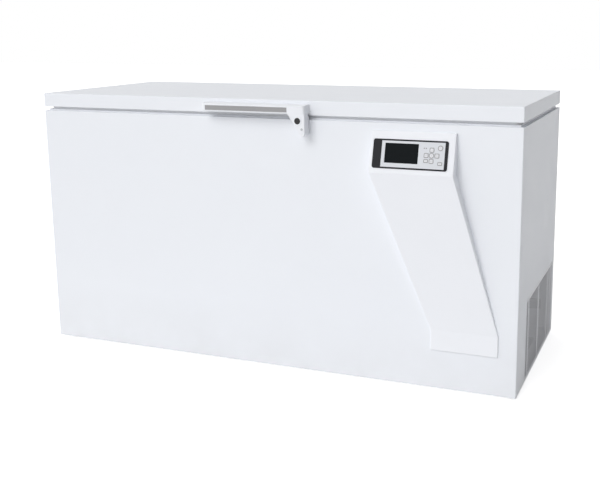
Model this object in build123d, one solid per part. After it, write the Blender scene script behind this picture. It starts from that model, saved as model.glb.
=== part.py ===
from build123d import *
import os
from math import atan2, cos, degrees, hypot, radians, sin, tan

# Chest ultra low temperature freezer, in millimetres, as the separate pieces it is built from.
# X runs along the cabinet to the right, the front faces -Y and +Z is up. The origin is the
# middle of the overall box, on the surface that the feet stand on.

# Outer sizes
cabinet_width = 1770.0
cabinet_depth = 720.0
body_height = 867.0
foot_height = 12.0
lid_gap = 15.0
lid_height = 48.0

# Sheet metal
steel = 1.2
pan_steel = 2.0
return_depth = 20.0
corner_radius = 4.0

# Insulated walls, tank and machine room
wall = 115.0
floor_wall = 125.0
machine_width = 255.0
tank_corner_radius = 15.0
tank_flange = 14.0
foam_corner_radius = 6.0

# Top collar and lid seal
top_recess = 13.0
collar_height = 6.0
collar_radius = 3.0
collar_lip_depth = 25.0
collar_lip_thickness = 2.5
gasket_width = 16.0
gasket_setback = 14.0
gasket_groove = 2.5
seat_clearance = 0.3

# Lid
lid_return = 16.0
lid_liner_thickness = 2.0
plug_depth = 60.0
plug_clearance = 9.0
plug_corner_radius = 20.0

# Evaporator tube round the tank
coil_diameter = 8.0
coil_rows = 6
coil_pitch = 80.0
coil_first_row = 70.0
coil_gap_at_back = 60.0
coil_clearance = 0.5

# Handle, placed from the cabinet's left edge and the lid's lower edge
handle_left = 685.0
handle_right = 1065.0
handle_reach = 40.0
handle_low = 7.0
handle_high = 37.0
handle_front_drop = 4.0
handle_wall = 4.0
handle_end_wall = 6.0
handle_corner_radius = 10.0
handle_edge_radius = 3.0
lock_block_width = 62.0
strip_left = 699.0
strip_width = 303.0
strip_height = 16.0
strip_thickness = 2.0
strip_pocket = 1.6
strip_low = 11.0

# Lock
lock_x = 1040.0
lock_below_lid = 16.0
lock_fin_drop = 67.0
lock_fin_back = 12.0
lock_fin_wall = 3.0
lock_fin_radius = 6.0
lock_fin_edge = 2.0
fin_waist_across = 21.7
fin_waist_drop = 31.0
lock_ring_radius = 14.0
lock_ring_rise = 1.0
barrel_radius = 10.5
barrel_neck_radius = 8.5
barrel_rise = 2.0
barrel_seat = 0.5
barrel_chamfer = 0.8
running_clearance = 0.05
keyway_width = 2.2
keyway_height = 8.0
keyway_depth = 8.0
cam_thickness = 4.0
cam_hub_radius = 7.0
cam_length = 16.0
cam_half_width = 4.0
cam_back = 4.5
keeper_thickness = 10.5
keeper_floor = 2.0
keeper_above_shell = 12.0
keeper_clearance = 1.5
cam_clearance = 2.5
screw_head_radius = 4.0
screw_head_height = 1.6
screw_recess_width = 0.8
screw_recess_reach = 2.4
screw_recess_floor = 0.6
fin_screw_x = 1055.0
fin_screw_below_lid = 43.0

# Hinges
hinge_count = 3
hinge_margin = 190.0
hinge_axis_back = 14.0
hinge_axis_below_lid = 7.5
knuckle_radius = 9.0
hinge_pin_radius = 4.0
hinge_plate = 2.5
hinge_base_width = 56.0
hinge_base_drop = 130.0
hinge_box_drop = 24.0
hinge_leaf_width = 44.0
hinge_leaf_margin = 5.0
pin_head_radius = 6.0
pin_head_height = 2.0

# Control cover: its head hangs from the shell's upper edge, its foot stands on the lower one, and
# both are placed from the cabinet's right edge
cover_right = 206.0
cover_head_width = 278.0
cover_drop = 24.0
crest_drop = 155.0
slope_end = 200.0
cover_bottom = 130.0
cover_foot_right = 61.0
cover_foot_width = 222.0
cover_top_reach = 9.0
cover_crest_reach = 45.0
cover_foot_reach = 5.0
cover_wall = 2.5
cover_edge_radius = 3.0

# Display and keypad, on the tilted face of the cover
bezel_width = 246.0
bezel_height = 94.0
bezel_rise = 1.5
bezel_depth = 5.0
bezel_radius = 7.0
bezel_neck_inset = 3.0
bezel_fit = 0.5
bezel_shift = -5.5
bezel_drop = 5.0
plate_width = 207.0
plate_height = 84.0
plate_shift = 9.0
plate_thickness = 1.5
plate_top = 1.0
plate_ledge = 3.0
plate_fit = 0.2
window_width = 110.0
window_height = 63.0
window_shift = -28.0
window_lift = 3.0
window_thickness = 2.5
window_top = 0.6
board_width = 222.0
board_height = 76.0
board_thickness = 1.6
board_depth = 7.4
post_radius = 3.0
post_inset = 7.0

# Keys
key_fit = 0.25
key_rise = 0.8
key_flange = 1.0
key_flange_thickness = 1.0
key_flange_gap = 0.1
key_stem_radius = 2.5
key_stem_end = 3.2
key_travel = 0.6
switch_size = 6.0
key_size = 15.0
key_corner = 3.0
round_key_diameter = 17.0
arrow_pitch = 17.5
pad_center = 70.5
side_key_height = 11.5
power_key_across = 97.5
power_key_up = 24.4
side_key_across = 99.0
side_key_down = -24.5

# Grilles
grille_front = 141.0
grille_back = 30.0
grille_low = 8.0
grille_height = 285.0
grille_top_band = 20.0
grille_lap = 8.0
grille_thickness = 1.5
slot_pitch = 9.6
slot_height = 5.0
slot_margin = 8.0
web_width = 16.0
webs_from_front = (194.0, 386.0)
webs_from_back = (136.0, 79.0)
rear_grille_width = 210.0
rear_grille_height = 230.0

# Feet
foot_radius = 26.0
foot_inset_x = 90.0
foot_inset_y = 80.0
foot_rim = 3.0

# Machine room
shelf_height = 330.0
shelf_thickness = 1.5
shelf_flange = 18.0
shelf_setback = 40.0
shelf_from_back = 8.0
grommet_radius = 11.0
grommet_height = 12.0
compressor_radius = 74.0
compressor_height = 175.0
compressor_dome = 34.0
compressor_seam = 4.0
compressor_seam_height = 8.0
compressor_foot_x = 186.0
compressor_foot_y = 150.0
compressor_foot_inset = 14.0
compressor_foot_thickness = 3.0
high_stage_from_front = 190.0
low_stage_from_front = 470.0
stub_radius = 5.0
stub_height = 24.0
terminal_box = 46.0
terminal_gap = 2.0
condenser_width = 214.0
condenser_height = 226.0
condenser_depth = 28.0
condenser_from_back = 22.0
header_radius = 9.0
flat_tube_height = 3.0
flat_tube_pitch = 11.0
fan_radius = 92.0
fan_tip_clearance = 4.0
shroud_wall = 2.0
shroud_ring_depth = 32.0
hub_radius = 24.0
blade_count = 5
blade_thickness = 2.0
blade_depth = 20.0
blade_root_width = 21.0
blade_tip_width = 36.0
blade_pitch = 32.0
blade_tip_pitch = 51.0
fan_shaft_radius = 4.0
motor_radius = 32.0
motor_length = 44.0
motor_flange = 6.0
strut_width = 9.0
strut_thickness = 4.0
exchanger_width = 84.0
exchanger_height = 220.0
exchanger_depth = 60.0
exchanger_from_front = 330.0
exchanger_corner = 17.0
groove_count = 5
groove_depth = 1.5
groove_width = 2.0
port_radius = 7.0
port_length = 16.0
separator_radius = 34.0
separator_height = 190.0
separator_from_front = 190.0
separator_from_side = 62.0
separator_dome = 20.0
drier_radius = 15.0
drier_length = 90.0
drier_neck = 5.0
pipe_radius = 5.0
pipe_bend = 22.0
pipe_hole_clearance = 3.0
electrical_depth = 88.0
electrical_width = 200.0
electrical_height = 230.0
electrical_from_front = 40.0
electrical_drop = 77.0
electrical_lid_depth = 10.0
electrical_lid_lap = 2.0
inlet_width = 50.0
inlet_height = 34.0
inlet_flange = 7.0
inlet_rise = 2.5
inlet_depth = 26.0
socket_width = 28.0
socket_height = 20.0
socket_depth = 20.0
inlet_pin_length = 13.0
inlet_pin_width = 2.0
inlet_pin_height = 5.0
inlet_pin_pitch = 7.0
inlet_earth_lift = 5.0
inlet_pin_drop = 2.0
inlet_from_side = 70.0
inlet_low = 100.0

# Levels and faces that follow from the sizes above
front_reach = max(cover_crest_reach, handle_reach)
rear_reach = hinge_axis_back + knuckle_radius
left_x = -cabinet_width / 2
right_x = cabinet_width / 2
front_y = front_reach - (cabinet_depth + front_reach + rear_reach) / 2
rear_y = front_y + cabinet_depth
shell_low = foot_height
shell_top = shell_low + body_height
lid_low = shell_top + lid_gap
lid_top = lid_low + lid_height
pan_top = shell_low + steel + pan_steel
foam_top = shell_top - steel
collar_top = shell_top + collar_height

tank_x0 = left_x + wall
tank_x1 = right_x - machine_width - wall
tank_y0 = front_y + wall
tank_y1 = rear_y - wall
tank_floor = shell_low + floor_wall
tank_mid_x = (tank_x0 + tank_x1) / 2
machine_x0 = right_x - machine_width
machine_mid_x = (machine_x0 + right_x - steel) / 2
shelf_top = shell_low + shelf_height + shelf_thickness

hinge_axis_y = rear_y + hinge_axis_back
hinge_axis_z = lid_low - hinge_axis_below_lid
lock_axis_x = left_x + lock_x
lock_axis_z = lid_low - lock_below_lid

cover_tilt = degrees(atan2(cover_crest_reach - cover_top_reach, crest_drop - cover_drop))


# General helpers

def block(x0, x1, y0, y1, z0, z1):
    """A box between two corners."""
    return Pos((x0 + x1) / 2, (y0 + y1) / 2, (z0 + z1) / 2) * Box(x1 - x0, y1 - y0, z1 - z0)


def rounded_block(x0, x1, y0, y1, z0, z1, radius):
    """A box whose upright edges are rounded."""
    outline = Pos((x0 + x1) / 2, (y0 + y1) / 2) * RectangleRounded(x1 - x0, y1 - y0, radius)
    return Pos(0, 0, z0) * extrude(outline, z1 - z0)


def drum(x, y, z0, z1, radius):
    """An upright cylinder."""
    return Pos(x, y, (z0 + z1) / 2) * Cylinder(radius, z1 - z0)


def rod_y(x, z, y0, y1, radius):
    """A cylinder along Y."""
    return Pos(x, (y0 + y1) / 2, z) * Rot(90, 0, 0) * Cylinder(radius, y1 - y0)


def rod_x(y, z, x0, x1, radius):
    """A cylinder along X."""
    return Pos((x0 + x1) / 2, y, z) * Rot(0, 90, 0) * Cylinder(radius, x1 - x0)


def prism_x(points, x0, x1):
    """A (y, z) outline extruded along X."""
    return Pos(x0, 0, 0) * extrude(Plane.YZ * make_face(Polyline(*points, close=True)), x1 - x0)


def prism_y(points, y0, y1):
    """An (x, z) outline extruded along Y."""
    return Pos(0, y1, 0) * extrude(Plane.XZ * make_face(Polyline(*points, close=True)), y1 - y0)


def pipe(points, radius, bend):
    """A round bar along straight runs that are joined by tangent arcs."""
    path = FilletPolyline(*points, radius=bend)
    return sweep((path ^ 0) * Circle(radius), path=path)


def slotted(width, height, bays, low, high):
    """A flat plate outline with rows of slots in each bay."""
    rows = int((high - low + slot_pitch - slot_height) // slot_pitch)
    plate = Pos(width / 2, height / 2) * Rectangle(width, height)
    slots = []
    for start, end in bays:
        for row in range(rows):
            middle = low + row * slot_pitch + slot_height / 2
            slots.append(Pos((start + end) / 2, middle) * Rectangle(end - start, slot_height))
    return plate - slots


# Cabinet shell

def tray_panel(y_face, inward):
    """The front or rear panel: a face with returns folded round all four edges."""
    y_open = y_face + inward * return_depth
    outer = block(left_x, right_x, min(y_face, y_open), max(y_face, y_open), shell_low, shell_top)
    outer = fillet(outer.edges().filter_by(Axis.Z).group_by(Axis.Y)[0 if inward > 0 else -1],
                   corner_radius)
    y_back = y_face + inward * steel
    y_past = y_open + inward
    inner = block(left_x + steel, right_x - steel, min(y_back, y_past), max(y_back, y_past),
                  shell_low + steel, shell_top - steel)
    inner = fillet(inner.edges().filter_by(Axis.Z).group_by(Axis.Y)[0 if inward > 0 else -1],
                   corner_radius - steel)
    return outer - inner


def side_panel(x_face, inward):
    """A side panel: a face with a return at the top and at the bottom."""
    near, far = sorted((x_face, x_face + inward * return_depth))
    solid = block(near, far, front_y + return_depth, rear_y - return_depth, shell_low, shell_top)
    near, far = sorted((x_face + inward * steel, x_face + inward * (return_depth + 1)))
    hollow = block(near, far, front_y, rear_y, shell_low + steel, shell_top - steel)
    return solid - hollow


def right_panel():
    """The machine room's side panel, open behind the side grille."""
    opening = block(right_x - 2 * steel, right_x + 1,
                    front_y + grille_front, rear_y - grille_back,
                    shell_low + grille_low, shell_low + grille_low + grille_height)
    return side_panel(right_x, -1) - opening


def rear_panel():
    """The rear panel, open behind the rear grille and at the power inlet."""
    vent = block(machine_mid_x - rear_grille_width / 2, machine_mid_x + rear_grille_width / 2,
                 rear_y - 2 * steel, rear_y + 1,
                 fan_axis_z() - rear_grille_height / 2, fan_axis_z() + rear_grille_height / 2)
    inlet = block(inlet_x() - inlet_width / 2, inlet_x() + inlet_width / 2,
                  rear_y - 2 * steel, rear_y + 1,
                  inlet_z() - inlet_height / 2, inlet_z() + inlet_height / 2)
    return tray_panel(rear_y, -1) - vent - inlet


def base_pan():
    """The folded pan that carries the foam, the compressors and the feet."""
    outer = block(left_x + steel, right_x - steel, front_y + steel, rear_y - steel,
                  shell_low + steel, pan_top)
    return fillet(outer.edges().filter_by(Axis.Z), corner_radius)


def bulkhead():
    """The sheet between the foam and the machine room."""
    return block(machine_x0 - steel, machine_x0, front_y + steel, rear_y - steel, pan_top, foam_top)


def feet():
    """Four glide feet: a rubber disc with a chamfered rim, under the pan."""
    discs = []
    for x in (left_x + foot_inset_x, right_x - foot_inset_x):
        for y in (front_y + foot_inset_y, rear_y - foot_inset_y):
            disc = drum(x, y, 0, shell_low + steel, foot_radius)
            discs.append(chamfer(disc.edges().group_by(Axis.Z)[0], foot_rim))
    return discs


def side_grille():
    """The slotted plate behind the opening of the right side panel."""
    start = grille_front - grille_lap
    end = cabinet_depth - grille_back + grille_lap
    height = grille_height + grille_lap
    edges = [grille_front + slot_margin]
    for web in webs_from_front + tuple(cabinet_depth - web for web in webs_from_back):
        edges += [web - web_width / 2, web + web_width / 2]
    edges.append(cabinet_depth - grille_back - slot_margin)
    bays = [(a - start, b - start) for a, b in zip(edges[::2], edges[1::2])]
    plate = slotted(end - start, height, bays, slot_margin, grille_height - grille_top_band)
    plate = extrude(plate, grille_thickness)
    frame = Plane(origin=(right_x - steel - grille_thickness, front_y + start, shell_low + grille_low),
                  x_dir=(0, 1, 0), z_dir=(1, 0, 0))
    return frame * plate


def rear_grille():
    """The slotted plate behind the rear panel's vent, where the fan blows out."""
    width = rear_grille_width + 2 * grille_lap
    height = rear_grille_height + 2 * grille_lap
    bays = [(grille_lap + slot_margin, width / 2 - web_width / 2),
            (width / 2 + web_width / 2, width - grille_lap - slot_margin)]
    plate = slotted(width, height, bays, grille_lap + slot_margin, height - grille_lap - slot_margin)
    plate = extrude(plate, grille_thickness)
    frame = Plane(origin=(machine_mid_x + width / 2, rear_y - steel - grille_thickness,
                          fan_axis_z() - height / 2),
                  x_dir=(-1, 0, 0), z_dir=(0, 1, 0))
    return frame * plate


# Tank, foam and evaporator

def inner_tank():
    """The folded steel tank, with a flange that lies on the foam."""
    outer = rounded_block(tank_x0 - steel, tank_x1 + steel, tank_y0 - steel, tank_y1 + steel,
                          tank_floor - steel, shell_top, tank_corner_radius + steel)
    hollow = rounded_block(tank_x0, tank_x1, tank_y0, tank_y1, tank_floor, shell_top + 1,
                           tank_corner_radius)
    flange = rounded_block(tank_x0 - tank_flange, tank_x1 + tank_flange,
                           tank_y0 - tank_flange, tank_y1 + tank_flange,
                           foam_top, shell_top, tank_corner_radius + tank_flange)
    return outer + flange - hollow


def coil_heights():
    return [tank_floor + coil_first_row + row * coil_pitch for row in range(coil_rows)]


def coil_bend():
    """The bend radius of the tube's middle line at the tank's corners."""
    return tank_corner_radius + steel + coil_diameter / 2


def coil_channels():
    """The room that the foam leaves for the tube."""
    reach = steel + coil_diameter + coil_clearance
    half = coil_diameter / 2 + coil_clearance
    heights = coil_heights()
    channels = [block(tank_x0 - reach, tank_x1 + reach, tank_y0 - reach, tank_y1 + reach,
                      height - half, height + half) for height in heights]
    turns = coil_gap_at_back / 2 + coil_bend()
    channels.append(block(tank_mid_x - turns, tank_mid_x + turns, tank_y1, tank_y1 + reach,
                          heights[0], heights[-1]))
    return channels


def cabinet_foam():
    """Four foamed walls and the foamed floor between the tank and the shell."""
    x0, x1 = left_x + steel, machine_x0 - steel
    y0, y1 = front_y + steel, rear_y - steel
    front = block(x0, x1, y0, tank_y0 - steel, pan_top, foam_top)
    front = fillet(front.edges().filter_by(Axis.Z).group_by(Axis.X)[0].group_by(Axis.Y)[0],
                   foam_corner_radius)
    rear = block(x0, x1, tank_y1 + steel, y1, pan_top, foam_top)
    rear = fillet(rear.edges().filter_by(Axis.Z).group_by(Axis.X)[0].group_by(Axis.Y)[-1],
                  foam_corner_radius)
    left = block(x0, tank_x0 - steel, tank_y0 - steel, tank_y1 + steel, pan_top, foam_top)
    right = block(tank_x1 + steel, x1, tank_y0 - steel, tank_y1 + steel, pan_top, foam_top)
    floor = block(tank_x0 - steel, tank_x1 + steel, tank_y0 - steel, tank_y1 + steel,
                  pan_top, tank_floor - steel)
    channels = coil_channels()
    walls = [slab - channels for slab in (front, rear, left, right)]
    return walls + [floor]


def evaporator_coil():
    """One tube that goes round the tank row by row and turns back behind it."""
    out = steel + coil_diameter / 2
    x0, x1 = tank_x0 - out, tank_x1 + out
    y0, y1 = tank_y0 - out, tank_y1 + out
    half_gap = coil_gap_at_back / 2
    points = []
    for row, height in enumerate(coil_heights()):
        lap = [(tank_mid_x - half_gap, y1), (x0, y1), (x0, y0), (x1, y0), (x1, y1),
               (tank_mid_x + half_gap, y1)]
        if row % 2:
            lap.reverse()
        points += [(x, y, height) for x, y in lap]
    return pipe(points, coil_diameter / 2, coil_bend())


# Collar

def collar_rails():
    """Four moulded rails round the tank's mouth; the right one also roofs the machine room."""
    x0, x1 = left_x + top_recess, right_x - top_recess
    y0, y1 = front_y + top_recess, rear_y - top_recess
    lip = collar_lip_thickness
    corner = tank_corner_radius

    def finished(rail, groups):
        edges = ShapeList()
        for axis, end in groups:
            edges += rail.edges().group_by(Axis.Z)[-1].group_by(axis)[end]
        return fillet(edges, collar_radius)

    front = block(x0, x1, y0, tank_y0 + lip, shell_top, collar_top)
    rear = block(x0, x1, tank_y1 - lip, y1, shell_top, collar_top)
    left = block(x0, tank_x0 + lip, tank_y0 + lip, tank_y1 - lip, shell_top, collar_top)
    right = block(tank_x1 - lip, x1, tank_y0 + lip, tank_y1 - lip, shell_top, collar_top)
    front = finished(front, [(Axis.Y, 0)])
    rear = finished(rear, [(Axis.Y, -1)])
    left = finished(left, [(Axis.X, 0)])
    right = finished(right, [(Axis.X, -1)])
    low = shell_top - collar_lip_depth
    front += block(tank_x0 + corner, tank_x1 - corner, tank_y0, tank_y0 + lip, low, shell_top)
    rear += block(tank_x0 + corner, tank_x1 - corner, tank_y1 - lip, tank_y1, low, shell_top)
    left += block(tank_x0, tank_x0 + lip, tank_y0 + corner, tank_y1 - corner, low, shell_top)
    right += block(tank_x1 - lip, tank_x1, tank_y0 + corner, tank_y1 - corner, low, shell_top)
    return [front, rear, left, right]


# Lid

def lid_shell():
    """The pressed steel lid: a shallow box, open below inside a narrow return."""
    outer = block(left_x, right_x, front_y, rear_y, lid_low, lid_top)
    outer = fillet(outer.edges().filter_by(Axis.Z), corner_radius)
    outer = fillet(outer.edges().group_by(Axis.Z)[-1], corner_radius - steel)
    hollow = rounded_block(left_x + steel, right_x - steel, front_y + steel, rear_y - steel,
                           lid_low + steel, lid_top - steel, corner_radius - steel)
    mouth = rounded_block(left_x + lid_return, right_x - lid_return, front_y + lid_return,
                          rear_y - lid_return, lid_low - 1, lid_low + 2 * steel, corner_radius)
    return outer - hollow - mouth


def plug_outline(inset):
    """The plan of the lid's plug, which drops into the tank's mouth."""
    gap = collar_lip_thickness + plug_clearance + inset
    return (tank_x0 + gap, tank_x1 - gap, tank_y0 + gap, tank_y1 - gap)


def lid_foam():
    """The lid's insulation, with the plug under it."""
    slab = rounded_block(left_x + steel, right_x - steel, front_y + steel, rear_y - steel,
                         lid_low + steel, lid_top - steel, foam_corner_radius)
    rim = rounded_block(left_x + lid_return, right_x - lid_return, front_y + lid_return,
                        rear_y - lid_return, lid_low, lid_low + steel, corner_radius)
    plug = rounded_block(*plug_outline(lid_liner_thickness), lid_low - plug_depth + lid_liner_thickness,
                         lid_low, plug_corner_radius - lid_liner_thickness)
    return slab + rim + plug


def lid_liner():
    """The vacuum-formed inner lid: a flange inside the gasket and a deep pan round the plug."""
    inset = gasket_setback + gasket_width + seat_clearance
    flange = block(left_x + inset, right_x - inset, front_y + inset, rear_y - inset,
                   lid_low - lid_liner_thickness, lid_low)
    pan = rounded_block(*plug_outline(0), lid_low - plug_depth, lid_low, plug_corner_radius)
    pan = fillet(pan.edges().group_by(Axis.Z)[0], plug_corner_radius / 3)
    hollow = rounded_block(*plug_outline(lid_liner_thickness),
                           lid_low - plug_depth + lid_liner_thickness, lid_low + 1,
                           plug_corner_radius - lid_liner_thickness)
    return flange + pan - hollow


def mitred_ring(setback, width, z0, z1):
    """Four bars with mitred ends that run round the lid."""
    x0, x1 = left_x + setback, right_x - setback
    y0, y1 = front_y + setback, rear_y - setback
    outside = [(x0, y0), (x1, y0), (x1, y1), (x0, y1)]
    inside = [(x0 + width, y0 + width), (x1 - width, y0 + width),
              (x1 - width, y1 - width), (x0 + width, y1 - width)]
    bars = []
    for side in range(4):
        ahead = (side + 1) % 4
        outline = Polyline(outside[side], outside[ahead], inside[ahead], inside[side], close=True)
        bars.append(Pos(0, 0, z0) * extrude(make_face(outline), z1 - z0))
    return bars


def lid_gasket():
    """The magnetic gasket: a wide base, a narrow bellows neck and a wide sealing face."""
    low = collar_top + seat_clearance
    third = (lid_low - low) / 3
    face = mitred_ring(gasket_setback, gasket_width, low, low + third)
    neck = mitred_ring(gasket_setback + gasket_groove, gasket_width - 2 * gasket_groove,
                       low + third, low + 2 * third)
    base = mitred_ring(gasket_setback, gasket_width, low + 2 * third, lid_low)
    return [a + b + c for a, b, c in zip(face, neck, base)]


# Handle and lock

def handle_bar():
    """The moulded handle: a hooded channel, open below for the fingers, and the lock's block."""
    x0, x1 = left_x + handle_left, left_x + handle_right
    low, high = lid_low + handle_low, lid_low + handle_high
    front = front_y - handle_reach
    hood = prism_x([(front_y, low), (front_y, high), (front, high - handle_front_drop), (front, low)],
                   x0, x1)
    upright = hood.edges().filter_by(Axis.Z).group_by(Axis.Y)[0]
    hood = fillet(upright, handle_corner_radius)
    brow = hood.faces().sort_by(Axis.Z)[-1].edges().sort_by(Axis.Y)[:-1]
    hood = fillet(brow, handle_edge_radius)
    channel_x1 = x1 - lock_block_width
    channel = prism_x([(front_y - handle_wall, low - 1), (front_y - handle_wall, high - handle_wall),
                       (front + handle_wall, high - handle_front_drop - handle_wall),
                       (front + handle_wall, low - 1)], x0 + handle_end_wall, channel_x1)
    channel = fillet(channel.edges().filter_by(Axis.Z), handle_edge_radius)
    strip_x0 = left_x + strip_left
    pocket = block(strip_x0, strip_x0 + strip_width, front - 1, front + strip_pocket,
                   lid_low + strip_low, lid_low + strip_low + strip_height)
    return hood - channel - pocket


def handle_strip():
    """The grey insert along the handle's front lip."""
    x0 = left_x + strip_left + seat_clearance
    back = front_y - handle_reach + strip_pocket
    strip = block(x0, x0 + strip_width - 2 * seat_clearance, back - strip_thickness, back,
                  lid_low + strip_low + seat_clearance,
                  lid_low + strip_low + strip_height - seat_clearance)
    return fillet(strip.edges().filter_by(Axis.X).group_by(Axis.Y)[0], strip_thickness / 3)


def fin_outline(inset):
    """The lock fin seen from the front: straight on the right, swept in on the left."""
    right = left_x + handle_right - inset
    left = left_x + handle_right - lock_block_width + inset
    top = lid_low + handle_low
    low = lid_low - lock_fin_drop + inset
    curve = Spline((left, top), (left + fin_waist_across, top - fin_waist_drop),
                   (right - lock_fin_radius, low), tangents=[(0.6, -1), (1, -0.35)])
    edges = [curve, Line((right - lock_fin_radius, low), (right, low + lock_fin_radius)),
             Line((right, low + lock_fin_radius), (right, top)), Line((right, top), (left, top))]
    return make_face(Wire(edges))


def lock_housing():
    """The hollow fin under the handle's right end, which carries the lock."""
    back = front_y - lock_fin_back
    front = front_y - handle_reach
    outer = Pos(0, back, 0) * extrude(Plane.XZ * fin_outline(0), back - front)
    rim = outer.edges().group_by(Axis.Y)[0].sort_by(Axis.Z)[:-1]
    outer = fillet(rim, lock_fin_edge)
    inner = Pos(0, back + 1, 0) * extrude(Plane.XZ * fin_outline(lock_fin_wall),
                                         back + 1 - front - lock_fin_wall)
    inner -= block(left_x, right_x, front_y - 2 * handle_reach, front_y,
                   lid_low + handle_low - lock_fin_wall, lid_low + 2 * handle_low)
    ring = rod_y(lock_axis_x, lock_axis_z, front - lock_ring_rise, front + lock_fin_wall,
                 lock_ring_radius)
    sleeve = rod_y(lock_axis_x, lock_axis_z, front, back, barrel_neck_radius + lock_fin_wall)
    bore = rod_y(lock_axis_x, lock_axis_z, front - lock_ring_rise - 1, back + 1,
                 barrel_neck_radius + running_clearance)
    seat = rod_y(lock_axis_x, lock_axis_z, front - lock_ring_rise - 1, front + barrel_seat,
                 barrel_radius + running_clearance)
    boss_x, boss_z = fin_screw_place()
    boss = rod_y(boss_x, boss_z, front + 1, back, screw_head_radius)
    return outer - inner + ring + (sleeve & outer) + (boss & outer) - bore - seat


def fin_screw_place():
    return left_x + fin_screw_x, lid_low - fin_screw_below_lid


def fin_screw():
    """The screw in the fin's front face, with a cross recess."""
    x, z = fin_screw_place()
    face = front_y - handle_reach
    head = rod_y(x, z, face - screw_head_height, face, screw_head_radius)
    head = fillet(head.edges().group_by(Axis.Y)[0], screw_head_height / 2)
    half = screw_recess_width / 2
    reach = screw_recess_reach
    floor = face - screw_recess_floor
    outside = face - 2 * screw_head_height
    cross = block(x - reach, x + reach, outside, floor, z - half, z + half)
    cross += block(x - half, x + half, outside, floor, z - reach, z + reach)
    return head - cross


def lock_cylinder():
    """The lock's barrel, with its keyway in front."""
    front = front_y - handle_reach - barrel_rise
    shoulder = front_y - handle_reach + barrel_seat
    back = front_y - cam_back - cam_thickness
    face = rod_y(lock_axis_x, lock_axis_z, front, shoulder, barrel_radius)
    face = chamfer(face.edges().group_by(Axis.Y)[0], barrel_chamfer)
    neck = rod_y(lock_axis_x, lock_axis_z, shoulder, back, barrel_neck_radius)
    keyway = block(lock_axis_x - keyway_width / 2, lock_axis_x + keyway_width / 2,
                   front - 1, front + keyway_depth,
                   lock_axis_z - keyway_height / 2, lock_axis_z + keyway_height / 2)
    return face + neck - keyway


def lock_cam():
    """The cam behind the barrel; its tongue hangs down while the lid is unlocked."""
    front = front_y - cam_back - cam_thickness
    back = front_y - cam_back
    hub = rod_y(lock_axis_x, lock_axis_z, front, back, cam_hub_radius)
    tongue = block(lock_axis_x - cam_half_width, lock_axis_x + cam_half_width, front, back,
                   lock_axis_z - cam_length, lock_axis_z)
    return hub + tongue


def lock_keeper():
    """The keeper on the cabinet: a plate behind the fin, with a pocket for the cam's tongue."""
    back = front_y
    front = front_y - keeper_thickness
    plate = Pos(0, back, 0) * extrude(Plane.XZ * fin_outline(keeper_clearance), keeper_thickness)
    top = shell_top + keeper_above_shell
    plate -= block(left_x, right_x, front - 1, back + 1, top, lid_top)
    floor = front_y - keeper_floor
    reach = hypot(cam_length, cam_half_width) + cam_clearance
    roof = lock_axis_z + cam_half_width + cam_clearance
    hook_x = lock_axis_x + cam_hub_radius + cam_clearance
    pocket = block(left_x, lock_axis_x + reach, front - 1, floor, lock_axis_z - reach, roof)
    pocket += block(left_x, hook_x, front - 1, floor, roof, top + 1)
    return plate - pocket


# Hinges

def hinge_places():
    first = left_x + hinge_margin
    step = (cabinet_width - 2 * hinge_margin) / (hinge_count - 1)
    return [first + index * step for index in range(hinge_count)]


def ear(points, thickness, x_middle, gap):
    """Two matching ears, one each side of a hinge."""
    outline = make_hull(Circle(knuckle_radius).edges() + Polyline(*points, close=True).edges())
    pair = None
    for side in (-1, 1):
        x = x_middle + side * (gap + thickness) / 2
        plate = Pos(x - thickness / 2, hinge_axis_y, hinge_axis_z) * extrude(Plane.YZ * outline, thickness)
        pair = plate if pair is None else pair + plate
    return pair


def hinge_base(x):
    """The leaf on the cabinet: a back plate, two ears and the closed box for the spring."""
    top = hinge_axis_z - knuckle_radius
    low = hinge_axis_z - hinge_base_drop
    plate = block(x - hinge_base_width / 2, x + hinge_base_width / 2, rear_y, rear_y + hinge_plate,
                  low, top)
    inner = hinge_base_width - 2 * hinge_plate
    at_wall = -hinge_axis_back
    ears = ear([(at_wall, -knuckle_radius), (at_wall, -hinge_box_drop)], hinge_plate, x, inner)
    box = block(x - hinge_base_width / 2, x + hinge_base_width / 2, rear_y,
                hinge_axis_y + knuckle_radius, low, hinge_axis_z - hinge_box_drop)
    box = fillet(box.edges().filter_by(Axis.Z).group_by(Axis.Y)[-1], hinge_plate)
    bore = rod_x(hinge_axis_y, hinge_axis_z, x - hinge_base_width, x + hinge_base_width,
                 hinge_pin_radius + running_clearance)
    return plate + ears + box - bore


def hinge_leaf(x):
    """The leaf on the lid: a plate on the rear skirt and two ears down to the pin."""
    low = lid_low + hinge_leaf_margin
    high = lid_top - hinge_leaf_margin
    plate = block(x - hinge_leaf_width / 2, x + hinge_leaf_width / 2, rear_y, rear_y + hinge_plate,
                  low, high)
    inner = hinge_leaf_width - 2 * hinge_plate
    at_lid = -hinge_axis_back
    ears = ear([(at_lid, low - hinge_axis_z), (at_lid, high - hinge_axis_z),
                (at_lid + hinge_plate, high - hinge_axis_z)], hinge_plate, x, inner)
    barrel = rod_x(hinge_axis_y, hinge_axis_z, x - hinge_leaf_width / 2, x + hinge_leaf_width / 2,
                   knuckle_radius - 2)
    bore = rod_x(hinge_axis_y, hinge_axis_z, x - hinge_base_width, x + hinge_base_width,
                 hinge_pin_radius + running_clearance)
    return plate + ears + barrel - bore


def hinge_pins():
    """One headed pin for each hinge."""
    pins = []
    for x in hinge_places():
        x0, x1 = x - hinge_base_width / 2, x + hinge_base_width / 2
        shank = rod_x(hinge_axis_y, hinge_axis_z, x0 - pin_head_height, x1 + pin_head_height,
                      hinge_pin_radius)
        heads = rod_x(hinge_axis_y, hinge_axis_z, x0 - pin_head_height, x0, pin_head_radius)
        heads += rod_x(hinge_axis_y, hinge_axis_z, x1, x1 + pin_head_height, pin_head_radius)
        pins.append(shank + heads)
    return pins


# Control cover and display

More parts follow.
